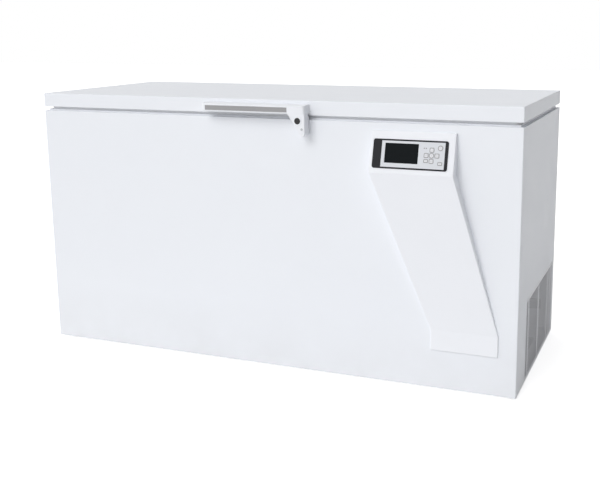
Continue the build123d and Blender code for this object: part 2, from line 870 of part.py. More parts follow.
def cover_form(inset):
    """The cover's wedge: a display head that swells to a crest, then slants down to its foot."""
    x1 = right_x - cover_right
    x0 = x1 - cover_head_width
    foot_x1 = right_x - cover_foot_right
    foot_x0 = foot_x1 - cover_foot_width
    top, crest = shell_top - cover_drop, shell_top - crest_drop
    end, low = shell_low + slope_end, shell_low + cover_bottom
    outline = make_face(Polyline((x0, top), (x1, top), (x1, crest), (foot_x1, end), (foot_x1, low),
                                 (foot_x0, low), (foot_x0, end), (x0, crest), close=True))
    if inset:
        outline = offset(outline, -inset, kind=Kind.INTERSECTION)
    back = 1 if inset else 0
    profile = make_face(Polyline((back, top - inset), (inset - cover_top_reach, top - inset),
                                 (inset - cover_crest_reach, crest), (inset - cover_foot_reach, end),
                                 (inset - cover_foot_reach, low + inset), (back, low + inset), close=True))
    prism = Pos(0, front_y + back, 0) * extrude(Plane.XZ * outline, cover_crest_reach + 2)
    depth = Pos(x0 - 1, front_y, 0) * extrude(Plane.YZ * profile, foot_x1 - x0 + 2)
    return prism & depth


def display_plane(rise=0.0):
    """The tilted display face: X along it to the right, Y up it, Z out of it."""
    x = right_x - cover_right - cover_head_width / 2 + bezel_shift
    z = shell_top - (cover_drop + crest_drop) / 2 - bezel_drop
    tilt = radians(cover_tilt)
    reach = cover_top_reach + (shell_top - cover_drop - z) * tan(tilt)
    face = Plane(origin=(x, front_y - reach, z), x_dir=(1, 0, 0), z_dir=(0, -cos(tilt), sin(tilt)))
    return face.offset(rise)


def on_display(sketch, low, high):
    """A flat outline of the display face, extruded between two heights above it."""
    return display_plane(low) * extrude(sketch, high - low)


def control_cover():
    """The moulded cover, open at its back, with an opening for the display."""
    shell = cover_form(0)
    shell = fillet(shell.edges().filter_by(lambda e: e.bounding_box().min.Y < front_y - 1),
                   cover_edge_radius)
    inner = cover_form(cover_wall)
    opening = Rectangle(bezel_width - 2 * bezel_neck_inset + 2 * bezel_fit,
                        bezel_height - 2 * bezel_neck_inset + 2 * bezel_fit)
    return shell - inner - on_display(opening, -2 * bezel_depth, bezel_depth)


def display_bezel():
    """The black frame round the display, with a flange, a neck, a ledge and four board posts."""
    rim = RectangleRounded(bezel_width, bezel_height, bezel_radius)
    neck = Rectangle(bezel_width - 2 * bezel_neck_inset, bezel_height - 2 * bezel_neck_inset)
    window = Pos(plate_shift, 0) * Rectangle(plate_width + 2 * plate_fit, plate_height + 2 * plate_fit)
    ledge = Pos(plate_shift, 0) * Rectangle(plate_width - 2 * plate_ledge, plate_height - 2 * plate_ledge)
    frame = on_display(rim, 0, bezel_rise) + on_display(neck, -bezel_depth, 0)
    frame -= on_display(window, plate_top - plate_thickness, bezel_rise + 1)
    frame -= on_display(ledge, -bezel_depth - 1, bezel_rise + 1)
    across = bezel_width / 2 - bezel_neck_inset - post_inset
    posts = [Pos(side * across, 0) * Circle(post_radius) for side in (-1, 1)]
    for post in posts:
        frame += on_display(post, -board_depth, -bezel_depth)
    return frame


def key_layout():
    """Each key's name, its place on the display face and its outline."""
    square = RectangleRounded(key_size, key_size, key_corner)
    low_key = RectangleRounded(key_size, side_key_height, key_corner)
    return {
        "key_ok": (pad_center, 0, Circle(round_key_diameter / 2)),
        "key_up": (pad_center, arrow_pitch, square),
        "key_down": (pad_center, -arrow_pitch, square),
        "key_left": (pad_center - arrow_pitch, 0, square),
        "key_right": (pad_center + arrow_pitch, 0, square),
        "key_back": (pad_center - arrow_pitch, -arrow_pitch, low_key),
        "key_power": (power_key_across, power_key_up, Circle(round_key_diameter / 2)),
        "key_mute": (side_key_across, side_key_down, low_key),
    }


def keypad_plate():
    """The pale plate with the display window and the key holes."""
    plate = Pos(plate_shift, 0) * Rectangle(plate_width, plate_height)
    plate -= Pos(window_shift, window_lift) * Rectangle(window_width + 2 * plate_fit,
                                                        window_height + 2 * plate_fit)
    for across, up, outline in key_layout().values():
        plate -= Pos(across, up) * offset(outline, key_fit)
    return on_display(plate, plate_top - plate_thickness, plate_top)


def display_window():
    """The dark glass of the display."""
    glass = Pos(window_shift, window_lift) * Rectangle(window_width, window_height)
    return on_display(glass, window_top - window_thickness, window_top)


def controller_board():
    """The circuit board with the display module and a switch under each key."""
    board = on_display(Rectangle(board_width, board_height), -board_depth - board_thickness, -board_depth)
    module = Pos(window_shift, window_lift) * Rectangle(window_width, window_height)
    board += on_display(module, -board_depth, window_top - window_thickness)
    for across, up, outline in key_layout().values():
        switch = Pos(across, up) * Rectangle(switch_size, switch_size)
        board += on_display(switch, -board_depth, -key_stem_end - key_travel - key_flange_gap)
    return board


def key(across, up, outline):
    """A key: its cap in the plate's hole, a flange behind the plate and a stem to the switch."""
    behind = plate_top - plate_thickness - key_flange_gap
    cap = on_display(Pos(across, up) * outline, behind, plate_top + key_rise)
    flange = on_display(Pos(across, up) * offset(outline, key_flange - key_fit),
                        behind - key_flange_thickness, behind)
    stem = on_display(Pos(across, up) * Circle(key_stem_radius), -key_stem_end,
                      behind - key_flange_thickness)
    return cap + flange + stem


# Machine room

def shelf_holes():
    """Where pipes pass through the shelf."""
    holes = []
    for x, y in (discharge_place(), suction_place()):
        holes.append(drum(x, y, shell_low, lid_top, pipe_radius + pipe_hole_clearance))
    return holes


def machine_shelf():
    """The folded shelf between the bulkhead and the side panel."""
    x0, x1 = machine_x0, right_x - steel
    y0, y1 = front_y + shelf_setback, rear_y - shelf_from_back
    shelf = block(x0, x1, y0, y1, shelf_top - shelf_thickness, shelf_top)
    shelf += block(x0, x0 + shelf_thickness, y0, y1, shelf_top - shelf_flange, shelf_top)
    shelf += block(x1 - shelf_thickness, x1, y0, y1, shelf_top - shelf_flange, shelf_top)
    return shelf - shelf_holes()


def compressor_places():
    return {"compressor_high": front_y + high_stage_from_front,
            "compressor_low": front_y + low_stage_from_front}


def foot_corners(y):
    dx = compressor_foot_x / 2 - compressor_foot_inset
    dy = compressor_foot_y / 2 - compressor_foot_inset
    return [(machine_mid_x + i * dx, y + j * dy) for i in (-1, 1) for j in (-1, 1)]


def compressor(y):
    """A hermetic compressor: two pressed domes with a weld seam, feet, terminals and stubs."""
    foot = pan_top + grommet_height
    low = foot + compressor_foot_thickness
    high = low + compressor_height
    pot = drum(machine_mid_x, y, low, high, compressor_radius)
    pot = fillet(pot.edges().filter_by(GeomType.CIRCLE).group_by(Axis.Z)[-1], compressor_dome)
    seam_z = (low + high) / 2
    pot += drum(machine_mid_x, y, seam_z, seam_z + compressor_seam_height,
                compressor_radius + compressor_seam)
    plate = Pos(machine_mid_x, y) * RectangleRounded(compressor_foot_x, compressor_foot_y,
                                                     compressor_foot_inset)
    pot += Pos(0, 0, foot) * extrude(plate, compressor_foot_thickness)
    half = terminal_box / 2
    pot += block(machine_mid_x - half, machine_mid_x + half, y - compressor_radius - half, y,
                 seam_z - terminal_box - terminal_gap, seam_z - terminal_gap)
    pot += drum(machine_mid_x, y, high - compressor_dome, high + stub_height, stub_radius)
    return pot


def compressor_grommets():
    """Rubber grommets under the compressors' feet."""
    rings = []
    for y in compressor_places().values():
        for x, corner_y in foot_corners(y):
            rings.append(drum(x, corner_y, pan_top, pan_top + grommet_height, grommet_radius))
    return rings


def condenser_frame():
    """The condenser's left, right, front and rear faces."""
    back = rear_y - condenser_from_back
    return (machine_mid_x - condenser_width / 2, machine_mid_x + condenser_width / 2,
            back - condenser_depth, back)


def condenser():
    """A flat-tube condenser: two headers, two side plates and the tubes between them."""
    x0, x1, y0, y1 = condenser_frame()
    middle = (y0 + y1) / 2
    top = shelf_top + condenser_height
    core = drum(x0 + header_radius, middle, shelf_top, top, header_radius)
    core += drum(x1 - header_radius, middle, shelf_top, top, header_radius)
    rows = int(condenser_height // flat_tube_pitch)
    first = shelf_top + (condenser_height - (rows - 1) * flat_tube_pitch) / 2
    for row in range(rows):
        z = first + row * flat_tube_pitch
        core += block(x0 + header_radius, x1 - header_radius, middle - header_radius + 1,
                      middle + header_radius - 1, z - flat_tube_height / 2, z + flat_tube_height / 2)
    for z in (shelf_top, top - shelf_thickness):
        core += block(x0, x1, y0, y1, z, z + shelf_thickness)
    return core


def fan_axis_z():
    return shelf_top + condenser_height / 2


def fan_shroud():
    """The shroud on the condenser, with its ring, four struts and the motor's seat."""
    x0, x1, y1, back = condenser_frame()
    z = fan_axis_z()
    top = shelf_top + condenser_height
    bore = fan_radius + fan_tip_clearance
    y0 = y1 - shroud_wall
    mouth = y0 - shroud_ring_depth
    plate = block(x0, x1, y0, y1, shelf_top, top)
    ring = rod_y(machine_mid_x, z, mouth, y0, bore + shroud_wall)
    shroud = plate + ring - rod_y(machine_mid_x, z, mouth - 1, y1 + 1, bore)
    arm = Pos(machine_mid_x, mouth - strut_thickness / 2, z) * Box(
        2 * (bore + shroud_wall) - 2, strut_thickness, strut_width)
    arms = (arm + Pos(machine_mid_x, 0, z) * Rot(0, 90, 0) * Pos(-machine_mid_x, 0, -z) * arm)
    seat = rod_y(machine_mid_x, z, mouth - strut_thickness, mouth, motor_radius)
    seat_hole = rod_y(machine_mid_x, z, mouth - strut_thickness - 1, mouth + 1, 2 * fan_shaft_radius)
    return shroud + (arms + seat - seat_hole)


def fan_mouth_y():
    return condenser_frame()[2] - shroud_wall - shroud_ring_depth


def fan_motor():
    """The fan's motor, in front of the shroud's seat."""
    y1 = fan_mouth_y() - strut_thickness
    z = fan_axis_z()
    case = rod_y(machine_mid_x, z, y1 - motor_length, y1, motor_radius)
    case = fillet(case.edges().filter_by(GeomType.CIRCLE).group_by(Axis.Y)[0], motor_flange)
    return case - rod_y(machine_mid_x, z, y1 - motor_length / 2, y1 + 1,
                        fan_shaft_radius + running_clearance)


def fan_rotor():
    """The fan wheel with its shaft, which turns in the motor."""
    z = fan_axis_z()
    low = fan_mouth_y() + strut_thickness
    high = low + blade_depth
    shaft = rod_y(machine_mid_x, z, low - 2 * strut_thickness - motor_length / 2 + 1, high,
                  fan_shaft_radius)
    hub = rod_y(machine_mid_x, z, low, high, hub_radius)
    hub = fillet(hub.edges().filter_by(GeomType.CIRCLE).group_by(Axis.Y)[-1], hub_radius / 6)
    wheel = hub + shaft
    length = fan_radius - hub_radius / 2
    for index in range(blade_count):
        base = Plane(origin=(0, 0, hub_radius / 2), x_dir=(0, 1, 0), z_dir=(0, 0, 1))
        tip = Plane(origin=(0, 0, hub_radius / 2 + length), x_dir=(0, 1, 0), z_dir=(0, 0, 1))
        inner = base * Rot(0, 0, blade_pitch) * Rectangle(blade_root_width, blade_thickness)
        outer = tip * Rot(0, 0, blade_tip_pitch) * Rectangle(blade_tip_width, blade_thickness)
        blade = loft([inner, outer])
        turn = Rot(0, 360 * index / blade_count, 0)
        wheel += Pos(machine_mid_x, (low + high) / 2, z) * turn * blade
    room = rod_y(machine_mid_x, z, low - 2 * strut_thickness - motor_length, high, fan_radius)
    return wheel & room


def cascade_exchanger():
    """The brazed plate exchanger between the two stages, on edge on the shelf."""
    y0 = front_y + exchanger_from_front
    y1 = y0 + exchanger_depth
    x = machine_x0 + exchanger_width / 2 + port_length
    z = shelf_top + exchanger_height / 2
    outline = RectangleRounded(exchanger_width, exchanger_height, exchanger_corner)
    band = extrude(outline - offset(outline, -groove_depth), groove_width)
    face = Plane(origin=(x, y1, z), x_dir=(1, 0, 0), z_dir=(0, -1, 0))
    pack = face * extrude(outline, exchanger_depth)
    step = exchanger_depth / (groove_count + 1)
    for index in range(groove_count):
        pack -= face.offset((index + 1) * step - groove_width / 2) * band
    for up in (-1, 1):
        port_z = z + up * (exchanger_height / 2 - exchanger_width / 2)
        pack += rod_y(x, port_z, y0 - port_length, y0, port_radius)
    return pack


def separator_place():
    return right_x - steel - separator_from_side, front_y + separator_from_front


def oil_separator():
    """The oil separator, a small vessel that stands on the shelf."""
    x, y = separator_place()
    top = shelf_top + separator_height
    vessel = drum(x, y, shelf_top, top, separator_radius)
    vessel = fillet(vessel.edges().filter_by(GeomType.CIRCLE).group_by(Axis.Z)[-1], separator_dome)
    return vessel + drum(x, y, top - 1, top + stub_height, stub_radius)


def discharge_place():
    return machine_mid_x, compressor_places()["compressor_high"]


def suction_place():
    return machine_mid_x, compressor_places()["compressor_low"]


def stub_top():
    return pan_top + grommet_height + compressor_foot_thickness + compressor_height + stub_height


def discharge_pipe():
    """From the high-stage compressor up to the top of the oil separator."""
    x, y = discharge_place()
    end_x, end_y = separator_place()
    end_z = shelf_top + separator_height + stub_height
    high = end_z + 2 * pipe_bend
    points = [(x, y, stub_top()), (x, y, high), (end_x, end_y, high), (end_x, end_y, end_z)]
    return pipe(points, pipe_radius, pipe_bend)


def suction_pipe():
    """From the exchanger's lower port down to the low-stage compressor."""
    x, y = suction_place()
    port_x = machine_x0 + exchanger_width / 2 + port_length
    port_y = front_y + exchanger_from_front - port_length
    port_z = shelf_top + exchanger_width / 2
    ahead_y = port_y - 2 * pipe_bend
    points = [(port_x, port_y, port_z), (port_x, ahead_y, port_z), (x, ahead_y, port_z),
              (x, y, port_z), (x, y, stub_top())]
    return pipe(points, pipe_radius, pipe_bend)


def filter_drier():
    """The copper filter drier beside the condenser, on the shelf."""
    x = condenser_frame()[1] - drier_radius
    y = fan_mouth_y() - drier_radius - drier_length / 2 - motor_length
    z = shelf_top + drier_radius
    body = rod_y(x, z, y - drier_length / 2, y + drier_length / 2, drier_radius)
    body = chamfer(body.edges().filter_by(GeomType.CIRCLE), drier_radius / 2)
    neck = rod_y(x, z, y - drier_length / 2 - drier_radius, y + drier_length / 2 + drier_radius, drier_neck)
    return body + neck


def electrical_box():
    """The folded box with the power electronics, on the bulkhead."""
    y0 = front_y + electrical_from_front
    y1 = y0 + electrical_width
    z1 = shell_top - electrical_drop
    z0 = z1 - electrical_height
    lap = electrical_lid_lap
    outside = machine_x0 + electrical_depth + lap
    box = block(machine_x0, machine_x0 + electrical_depth, y0, y1, z0, z1)
    lid = block(outside - electrical_lid_depth, outside, y0 - lap, y1 + lap, z0 - lap, z1 + lap)
    return box + lid


def inlet_x():
    return right_x - inlet_from_side


def inlet_z():
    return shell_low + inlet_low


def power_inlet():
    """The recessed mains inlet in the rear panel."""
    x, z = inlet_x(), inlet_z()
    flange = Plane(origin=(x, rear_y, z), x_dir=(1, 0, 0), z_dir=(0, 1, 0)) * extrude(
        RectangleRounded(inlet_width + 2 * inlet_flange, inlet_height + 2 * inlet_flange, inlet_flange),
        inlet_rise)
    fit = seat_clearance
    body = block(x - inlet_width / 2 + fit, x + inlet_width / 2 - fit, rear_y - inlet_depth, rear_y,
                 z - inlet_height / 2 + fit, z + inlet_height / 2 - fit)
    mouth = rear_y + inlet_rise
    bottom = mouth - socket_depth
    hollow = block(x - socket_width / 2, x + socket_width / 2, bottom, mouth + 1,
                   z - socket_height / 2, z + socket_height / 2)
    inlet = flange + body - hollow
    for side in (-1, 0, 1):
        pin_x = x + side * inlet_pin_pitch
        pin_z = z - inlet_pin_drop + (0 if side else inlet_earth_lift)
        inlet += block(pin_x - inlet_pin_width / 2, pin_x + inlet_pin_width / 2, bottom,
                       bottom + inlet_pin_length,
                       pin_z - inlet_pin_height / 2, pin_z + inlet_pin_height / 2)
    return inlet


# All pieces by name

def build_all():
    pieces = {
        "front_panel": tray_panel(front_y, 1),
        "left_side_panel": side_panel(left_x, 1),
        "right_side_panel": right_panel(),
        "rear_panel": rear_panel(),
        "base_pan": base_pan(),
        "bulkhead": bulkhead(),
        "glide_feet": feet(),
        "side_grille": side_grille(),
        "rear_grille": rear_grille(),
        "inner_tank": inner_tank(),
        "cabinet_foam": cabinet_foam(),
        "evaporator_coil": evaporator_coil(),
        "collar_rails": collar_rails(),
        "lid_shell": lid_shell(),
        "lid_foam": lid_foam(),
        "lid_liner": lid_liner(),
        "lid_gasket": lid_gasket(),
        "handle_bar": handle_bar(),
        "handle_strip": handle_strip(),
        "lock_housing": lock_housing(),
        "fin_screw": fin_screw(),
        "lock_cylinder": lock_cylinder(),
        "lock_cam": lock_cam(),
        "lock_keeper": lock_keeper(),
        "hinge_pins": hinge_pins(),
        "control_cover": control_cover(),
        "display_bezel": display_bezel(),
        "keypad_plate": keypad_plate(),
        "display_window": display_window(),
        "controller_board": controller_board(),
        "machine_shelf": machine_shelf(),
        "compressor_grommets": compressor_grommets(),
        "condenser": condenser(),
        "fan_shroud": fan_shroud(),
        "fan_motor": fan_motor(),
        "fan_rotor": fan_rotor(),
        "cascade_exchanger": cascade_exchanger(),
        "oil_separator": oil_separator(),
        "filter_drier": filter_drier(),
        "discharge_pipe": discharge_pipe(),
        "suction_pipe": suction_pipe(),
        "electrical_box": electrical_box(),
        "power_inlet": power_inlet(),
    }
    for name, y in compressor_places().items():
        pieces[name] = compressor(y)
    for name, place in key_layout().items():
        pieces[name] = key(*place)
    for index, x in enumerate(hinge_places()):
        pieces[f"hinge_base_{index + 1}"] = hinge_base(x)
        pieces[f"hinge_leaf_{index + 1}"] = hinge_leaf(x)
    return pieces


def solids_of(piece):
    """Every solid of a piece, which may be one shape or a list of them."""
    shapes = piece if isinstance(piece, (list, tuple)) else [piece]
    found = []
    for shape in shapes:
        found += shape.solids()
    return found


def main():
    os.makedirs("parts", exist_ok=True)
    for name, piece in build_all().items():
        found = solids_of(piece)
        shape = found[0] if len(found) == 1 else Compound(children=found)
        shape.label = name
        export_step(shape, f"parts/{name}.step")
        print(name, len(found))


main()
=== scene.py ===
# %% [markdown]
# # Dressing a chest freezer for ultra low temperatures
#
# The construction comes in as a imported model: every panel, hinge, key and compressor is already at
# its real size and place. This notebook gives each surface its finish and adds the fine pieces that
# a construction model leaves out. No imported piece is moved. A finished object stays at the origin
# with its place in its mesh, so one set of Object coordinates runs through the whole freezer, and a
# pattern carries on from one panel to the next.

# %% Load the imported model
from math import atan2, cos, degrees, pi, radians, sin

import bmesh
import bpy
from mathutils import Euler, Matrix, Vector


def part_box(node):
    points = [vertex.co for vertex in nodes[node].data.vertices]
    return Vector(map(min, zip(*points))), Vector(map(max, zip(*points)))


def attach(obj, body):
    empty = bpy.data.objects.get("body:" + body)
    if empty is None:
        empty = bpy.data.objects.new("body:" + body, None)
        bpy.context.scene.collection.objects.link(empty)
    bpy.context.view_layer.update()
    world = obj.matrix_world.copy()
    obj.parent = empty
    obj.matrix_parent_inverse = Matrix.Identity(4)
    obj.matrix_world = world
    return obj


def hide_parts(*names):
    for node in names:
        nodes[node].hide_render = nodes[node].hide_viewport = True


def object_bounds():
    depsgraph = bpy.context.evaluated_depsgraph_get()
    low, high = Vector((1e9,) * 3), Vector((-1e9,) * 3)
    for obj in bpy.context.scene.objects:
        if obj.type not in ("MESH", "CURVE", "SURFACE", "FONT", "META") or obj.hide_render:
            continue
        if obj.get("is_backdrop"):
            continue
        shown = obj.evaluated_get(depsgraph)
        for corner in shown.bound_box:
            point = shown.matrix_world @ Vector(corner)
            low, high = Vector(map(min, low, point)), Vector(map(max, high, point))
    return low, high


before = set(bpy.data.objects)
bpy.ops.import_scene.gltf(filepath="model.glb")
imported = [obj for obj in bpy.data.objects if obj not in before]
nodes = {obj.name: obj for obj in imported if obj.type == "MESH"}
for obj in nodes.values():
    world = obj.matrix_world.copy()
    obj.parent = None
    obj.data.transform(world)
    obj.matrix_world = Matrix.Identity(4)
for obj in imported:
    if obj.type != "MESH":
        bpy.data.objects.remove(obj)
cad_low, cad_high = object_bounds()
scene = bpy.context.scene
mm = 0.001
print("packed nodes:", len(nodes), "overall height:", round(cad_high.z - cad_low.z, 3), "m")

# %% [markdown]
# ## Levels that later pieces sit on
#
# A screw or a gasket has to lie on what carries it. Typing its place in would go stale when the
# construction changes, so each level is read from the box of the node that carries the piece.

# %% Read levels and faces from the nodes
front_low, front_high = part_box("front_panel")
rear_low, rear_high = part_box("rear_panel")
lid_low, lid_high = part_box("lid_shell")
rear_face = rear_high.y
shell_low = front_low.z
print("front face y:", round(front_low.y, 4), "rear face y:", round(rear_face, 4))

# %% [markdown]
# ## The camera
#
# The freezer was photographed from its front right, a little above the lid. Place, turn and lens
# come from fitting a camera to the corners of the cabinet and the lid. The freezer isn't in the
# middle of the picture, and a small lens shift moves it there without bending the perspective.

# %% Place the camera
camera_place = (1.371, -3.054, 1.188)
camera_turn = 20.86
camera_dip = 10.97
camera_roll = 0.22
camera_lens = 54.15
picture_shift = (-0.091, -0.069)

camera_data = bpy.data.cameras.new("studio_camera")
camera_data.lens = camera_lens
camera_data.shift_x, camera_data.shift_y = picture_shift
camera = bpy.data.objects.new("studio_camera", camera_data)
camera.location = camera_place
camera.rotation_euler = Euler((radians(90 - camera_dip), radians(camera_roll), radians(camera_turn)))
scene.collection.objects.link(camera)
scene.camera = camera
scene.view_settings.view_transform = "Standard"
print("camera lens:", camera_data.lens, "mm")

# %% [markdown]
# ## Building node trees
#
# Every finish below is a node tree, and so is every repeated piece. One helper adds a node, sets its
# options and feeds its inputs, either with a plain value or with another node's output. That keeps
# each recipe short enough to read as a list of what the surface does. The nodes that recur get short
# names on top of it.

# %% A helper that adds one node
def add(tree, kind, inputs=None, **options):
    """One node: options are its own settings, inputs are values or the sockets that feed them."""
    made = tree.nodes.new(kind)
    for key, value in options.items():
        setattr(made, key, value)
    for key, value in (inputs or {}).items():
        socket = made.inputs[key]
        if isinstance(value, bpy.types.NodeSocket):
            tree.links.new(value, socket)
        else:
            socket.default_value = value
    return made


print("node helper ready")

# %% Short names for the nodes that recur
def noise(tree, place, scale, detail=2.0):
    """Soft random patches, from 0 to 1."""
    inputs = {"Vector": place, "Scale": scale, "Detail": detail}
    return add(tree, "ShaderNodeTexNoise", inputs).outputs[0]


def stretched(tree, place, stretch):
    """Coordinates pulled out along an axis, for brushed or drawn surfaces."""
    return add(tree, "ShaderNodeMapping", {"Vector": place, "Scale": stretch}).outputs[0]


def remap(tree, value, low, high, new_low, new_high):
    """A value moved from one range to another and held inside it."""
    inputs = {"Value": value, "From Min": low, "From Max": high, "To Min": new_low, "To Max": new_high}
    return add(tree, "ShaderNodeMapRange", inputs).outputs[0]


def calculate(tree, operation, first, second):
    """Two values joined by one operation, such as MULTIPLY or MAXIMUM."""
    return add(tree, "ShaderNodeMath", {0: first, 1: second}, operation=operation).outputs[0]


def between(tree, share, first, second):
    """Two numbers mixed by a share; in a Mix node they are sockets 2 and 3."""
    return add(tree, "ShaderNodeMix", {0: share, 2: first, 3: second}).outputs[0]


def blend(tree, share, first, second):
    """Two colours mixed by a share; in a Mix node they are sockets 6 and 7."""
    return add(tree, "ShaderNodeMix", {0: share, 6: first, 7: second}, data_type="RGBA").outputs[2]


def shade(red, green, blue):
    """A colour as a socket wants it, with full alpha."""
    return (red, green, blue, 1.0)


print("short names ready")

# %% [markdown]
# ## The studio
#
# The picture has a plain white surround. A white room would flood the freezer with light and wash its
# shapes out, so the world is white only to the camera, to reflections and through glass. The light
# that falls on surfaces is lower, and weaker from the right, because the freezer's right side is in
# its own shade.
#
# One broad lamp above the camera and to its left gives the front its brightness and the handle its
# soft shadow, and a weaker one from low in front fills that shadow. Lamps are hidden from reflections,
# because their images would lie right in the dark display. A weak light low on the right brightens the
# foot of the side, as a white floor near a lamp does.

# %% Light Path switch for a white surround
def seen_directly(tree):
    """1 for what the camera, a reflection or a glass shows, and 0 for light that falls on surfaces."""
    path = add(tree, "ShaderNodeLightPath").outputs
    camera_or_glossy = calculate(tree, "MAXIMUM", path["Is Camera Ray"], path["Is Glossy Ray"])
    return calculate(tree, "MAXIMUM", camera_or_glossy, path["Is Transmission Ray"])


print("white to camera, glossy and transmission rays")

# %% Make the world
room_light_from_left = 1.02
room_light_from_right = 0.04
surround_strength = 1.0

world = bpy.data.worlds.new("studio")
world.use_nodes = True
scene.world = world
room = world.node_tree
room.nodes.clear()
direction = add(room, "ShaderNodeTexCoord").outputs["Generated"]
sideways = add(room, "ShaderNodeSeparateXYZ", {0: direction}).outputs["X"]
room_light = remap(room, sideways, -1.0, 1.0, room_light_from_left, room_light_from_right)
strength = between(room, seen_directly(room), room_light, surround_strength)
backdrop = add(room, "ShaderNodeBackground", {"Color": shade(1.0, 1.0, 1.0), "Strength": strength})
add(room, "ShaderNodeOutputWorld", {"Surface": backdrop.outputs[0]})
print("room light:", room_light_from_left, "to", room_light_from_right)

# %% Make the two broad lamps
key_strength = 1.34
key_softness = 35
key_heading = Vector((0.30, 0.74, -0.66))
front_strength = 0.56
front_softness = 60
front_heading = Vector((0.12, 0.97, 0.20))


def hang_lamp(lamp, heading):
    """Turns a lamp along its heading and hides it from reflections."""
    lamp.rotation_euler = heading.to_track_quat("-Z", "Y").to_euler()
    lamp.visible_glossy = False
    scene.collection.objects.link(lamp)


def broad_lamp(name, strength, softness, heading):
    """A lamp as far off as the sun but much wider, so that its shadows are soft."""
    data = bpy.data.lights.new(name, "SUN")
    data.energy = strength
    data.angle = radians(softness)
    hang_lamp(bpy.data.objects.new(name, data), heading)
    print(name, strength)


broad_lamp("key_light", key_strength, key_softness, key_heading)
broad_lamp("front_light", front_strength, front_softness, front_heading)

# %% Make the low fill light
fill_light_power = 3.2
fill_light_place = (2.75, 0.0, 0.25)
fill_light_size = (0.5, 1.6)
fill_light_heading = Vector((-1.0, 0.0, 0.0))

fill_data = bpy.data.lights.new("fill_light", "AREA")
fill_data.shape = "RECTANGLE"
fill_data.size, fill_data.size_y = fill_light_size
fill_data.energy = fill_light_power
fill = bpy.data.objects.new("fill_light", fill_data)
fill.location = fill_light_place
hang_lamp(fill, fill_light_heading)
print("fill light:", fill_light_power, "W")

# %% [markdown]
# ## The floor
#
# The floor carries the freezer's soft shadow, so it has to be a real surface and not only a white
# world. A lit grey alone would look dull against the white surround. A glow that only the camera and
# reflections see lifts it to white, and lights nothing.

# %% Make the floor
floor_size = 40.0
floor_grey = 0.82
floor_lift = 0.70

floor_mesh = bpy.data.meshes.new("studio_floor")
half = floor_size / 2
floor_mesh.from_pydata([(-half, -half, 0), (half, -half, 0), (half, half, 0), (-half, half, 0)],
                       [], [(0, 1, 2, 3)])
floor = bpy.data.objects.new("studio_floor", floor_mesh)
scene.collection.objects.link(floor)
floor_finish = bpy.data.materials.new("studio_floor")
floor_finish.use_nodes = True
ground = floor_finish.node_tree
ground.nodes.clear()
matt = add(ground, "ShaderNodeBsdfDiffuse", {"Color": shade(floor_grey, floor_grey, floor_grey)})
lift = calculate(ground, "MULTIPLY", seen_directly(ground), floor_lift)
glow = add(ground, "ShaderNodeEmission", {"Strength": lift})
both = add(ground, "ShaderNodeAddShader", {0: matt.outputs[0], 1: glow.outputs[0]})
add(ground, "ShaderNodeOutputMaterial", {"Surface": both.outputs[0]})
floor_mesh.materials.append(floor_finish)
floor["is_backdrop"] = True
print("floor:", floor_size, "m square")

# %% [markdown]
# ## What every finish starts from
#
# Each material is a Principled shader that reads Object coordinates. Values that are the same all
# over are set on the shader's own sockets. Real sheet metal and mouldings have no knife edges, so the
# Bevel node rounds the shading of hard edges by about a millimetre, and a fine bump rides on it. No
# real surface has one colour and one gloss all over either, so both drift a little with a soft noise.

# %% Start a finish
bevel_samples = 6


def surface(name, colour, roughness, metallic=0.0, coat=0.0, coat_roughness=0.15, specular=0.5):
    """A new material with its even values set; returns it, its tree, its shader and its place."""
    material = bpy.data.materials.new(name)
    material.use_nodes = True
    tree = material.node_tree
    tree.nodes.clear()
    shader = add(tree, "ShaderNodeBsdfPrincipled", {
        "Base Color": colour, "Roughness": roughness, "Metallic": metallic, "Coat Weight": coat,
        "Coat Roughness": coat_roughness, "Specular IOR Level": specular})
    add(tree, "ShaderNodeOutputMaterial", {"Surface": shader.outputs[0]})
    place = add(tree, "ShaderNodeTexCoord").outputs["Object"]
    return material, tree, shader, place


def relief(tree, shader, height, depth, edge=0.0):
    """A bump of a real depth, on shading that is rounded at hard edges."""
    inputs = {"Height": height, "Distance": depth, "Strength": 1.0}
    if edge:
        bevel = add(tree, "ShaderNodeBevel", {"Radius": edge}, samples=bevel_samples)
        inputs["Normal"] = bevel.outputs[0]
    tree.links.new(add(tree, "ShaderNodeBump", inputs).outputs[0], shader.inputs["Normal"])


print("a finish can be started")

# %% Let tone and gloss drift
noise_low = 0.3
noise_high = 0.7


def tone(tree, shader, share, first, second):
    """A colour that drifts between two tones with a share from 0 to 1."""
    tree.links.new(blend(tree, share, first, second), shader.inputs["Base Color"])


def gloss(tree, shader, pattern, low, high, pattern_low=noise_low, pattern_high=noise_high):
    """A roughness that follows a pattern; soft noise hardly leaves the middle of its range."""
    tree.links.new(remap(tree, pattern, pattern_low, pattern_high, low, high),
                   shader.inputs["Roughness"])


print("noise is used from", noise_low, "to", noise_high)

# %% [markdown]
# ## Powder-coated sheet
#
# The panels and the lid are pressed steel with a baked white powder coat. Powder melts into a skin
# with a faint orange peel, a few millimetres across and some hundredths of a millimetre deep. A painted
# shade greys the panels near the floor, in patches. A flat white would look like paper.

# %% White powder coat
coat_white = shade(0.865, 0.885, 0.925)
coat_cool = shade(0.835, 0.858, 0.905)
powder_roughness = 0.52
peel_scale = 330.0
peel_depth = 0.05 * mm
sheet_edge = 1.0 * mm
# Painted shade: the panels get darker towards the floor, broken into patches.
floor_shade_grey = shade(0.70, 0.705, 0.72)
floor_shade_height = 220 * mm
floor_shade_share = 0.35
thinnest_floor_shade = 0.4


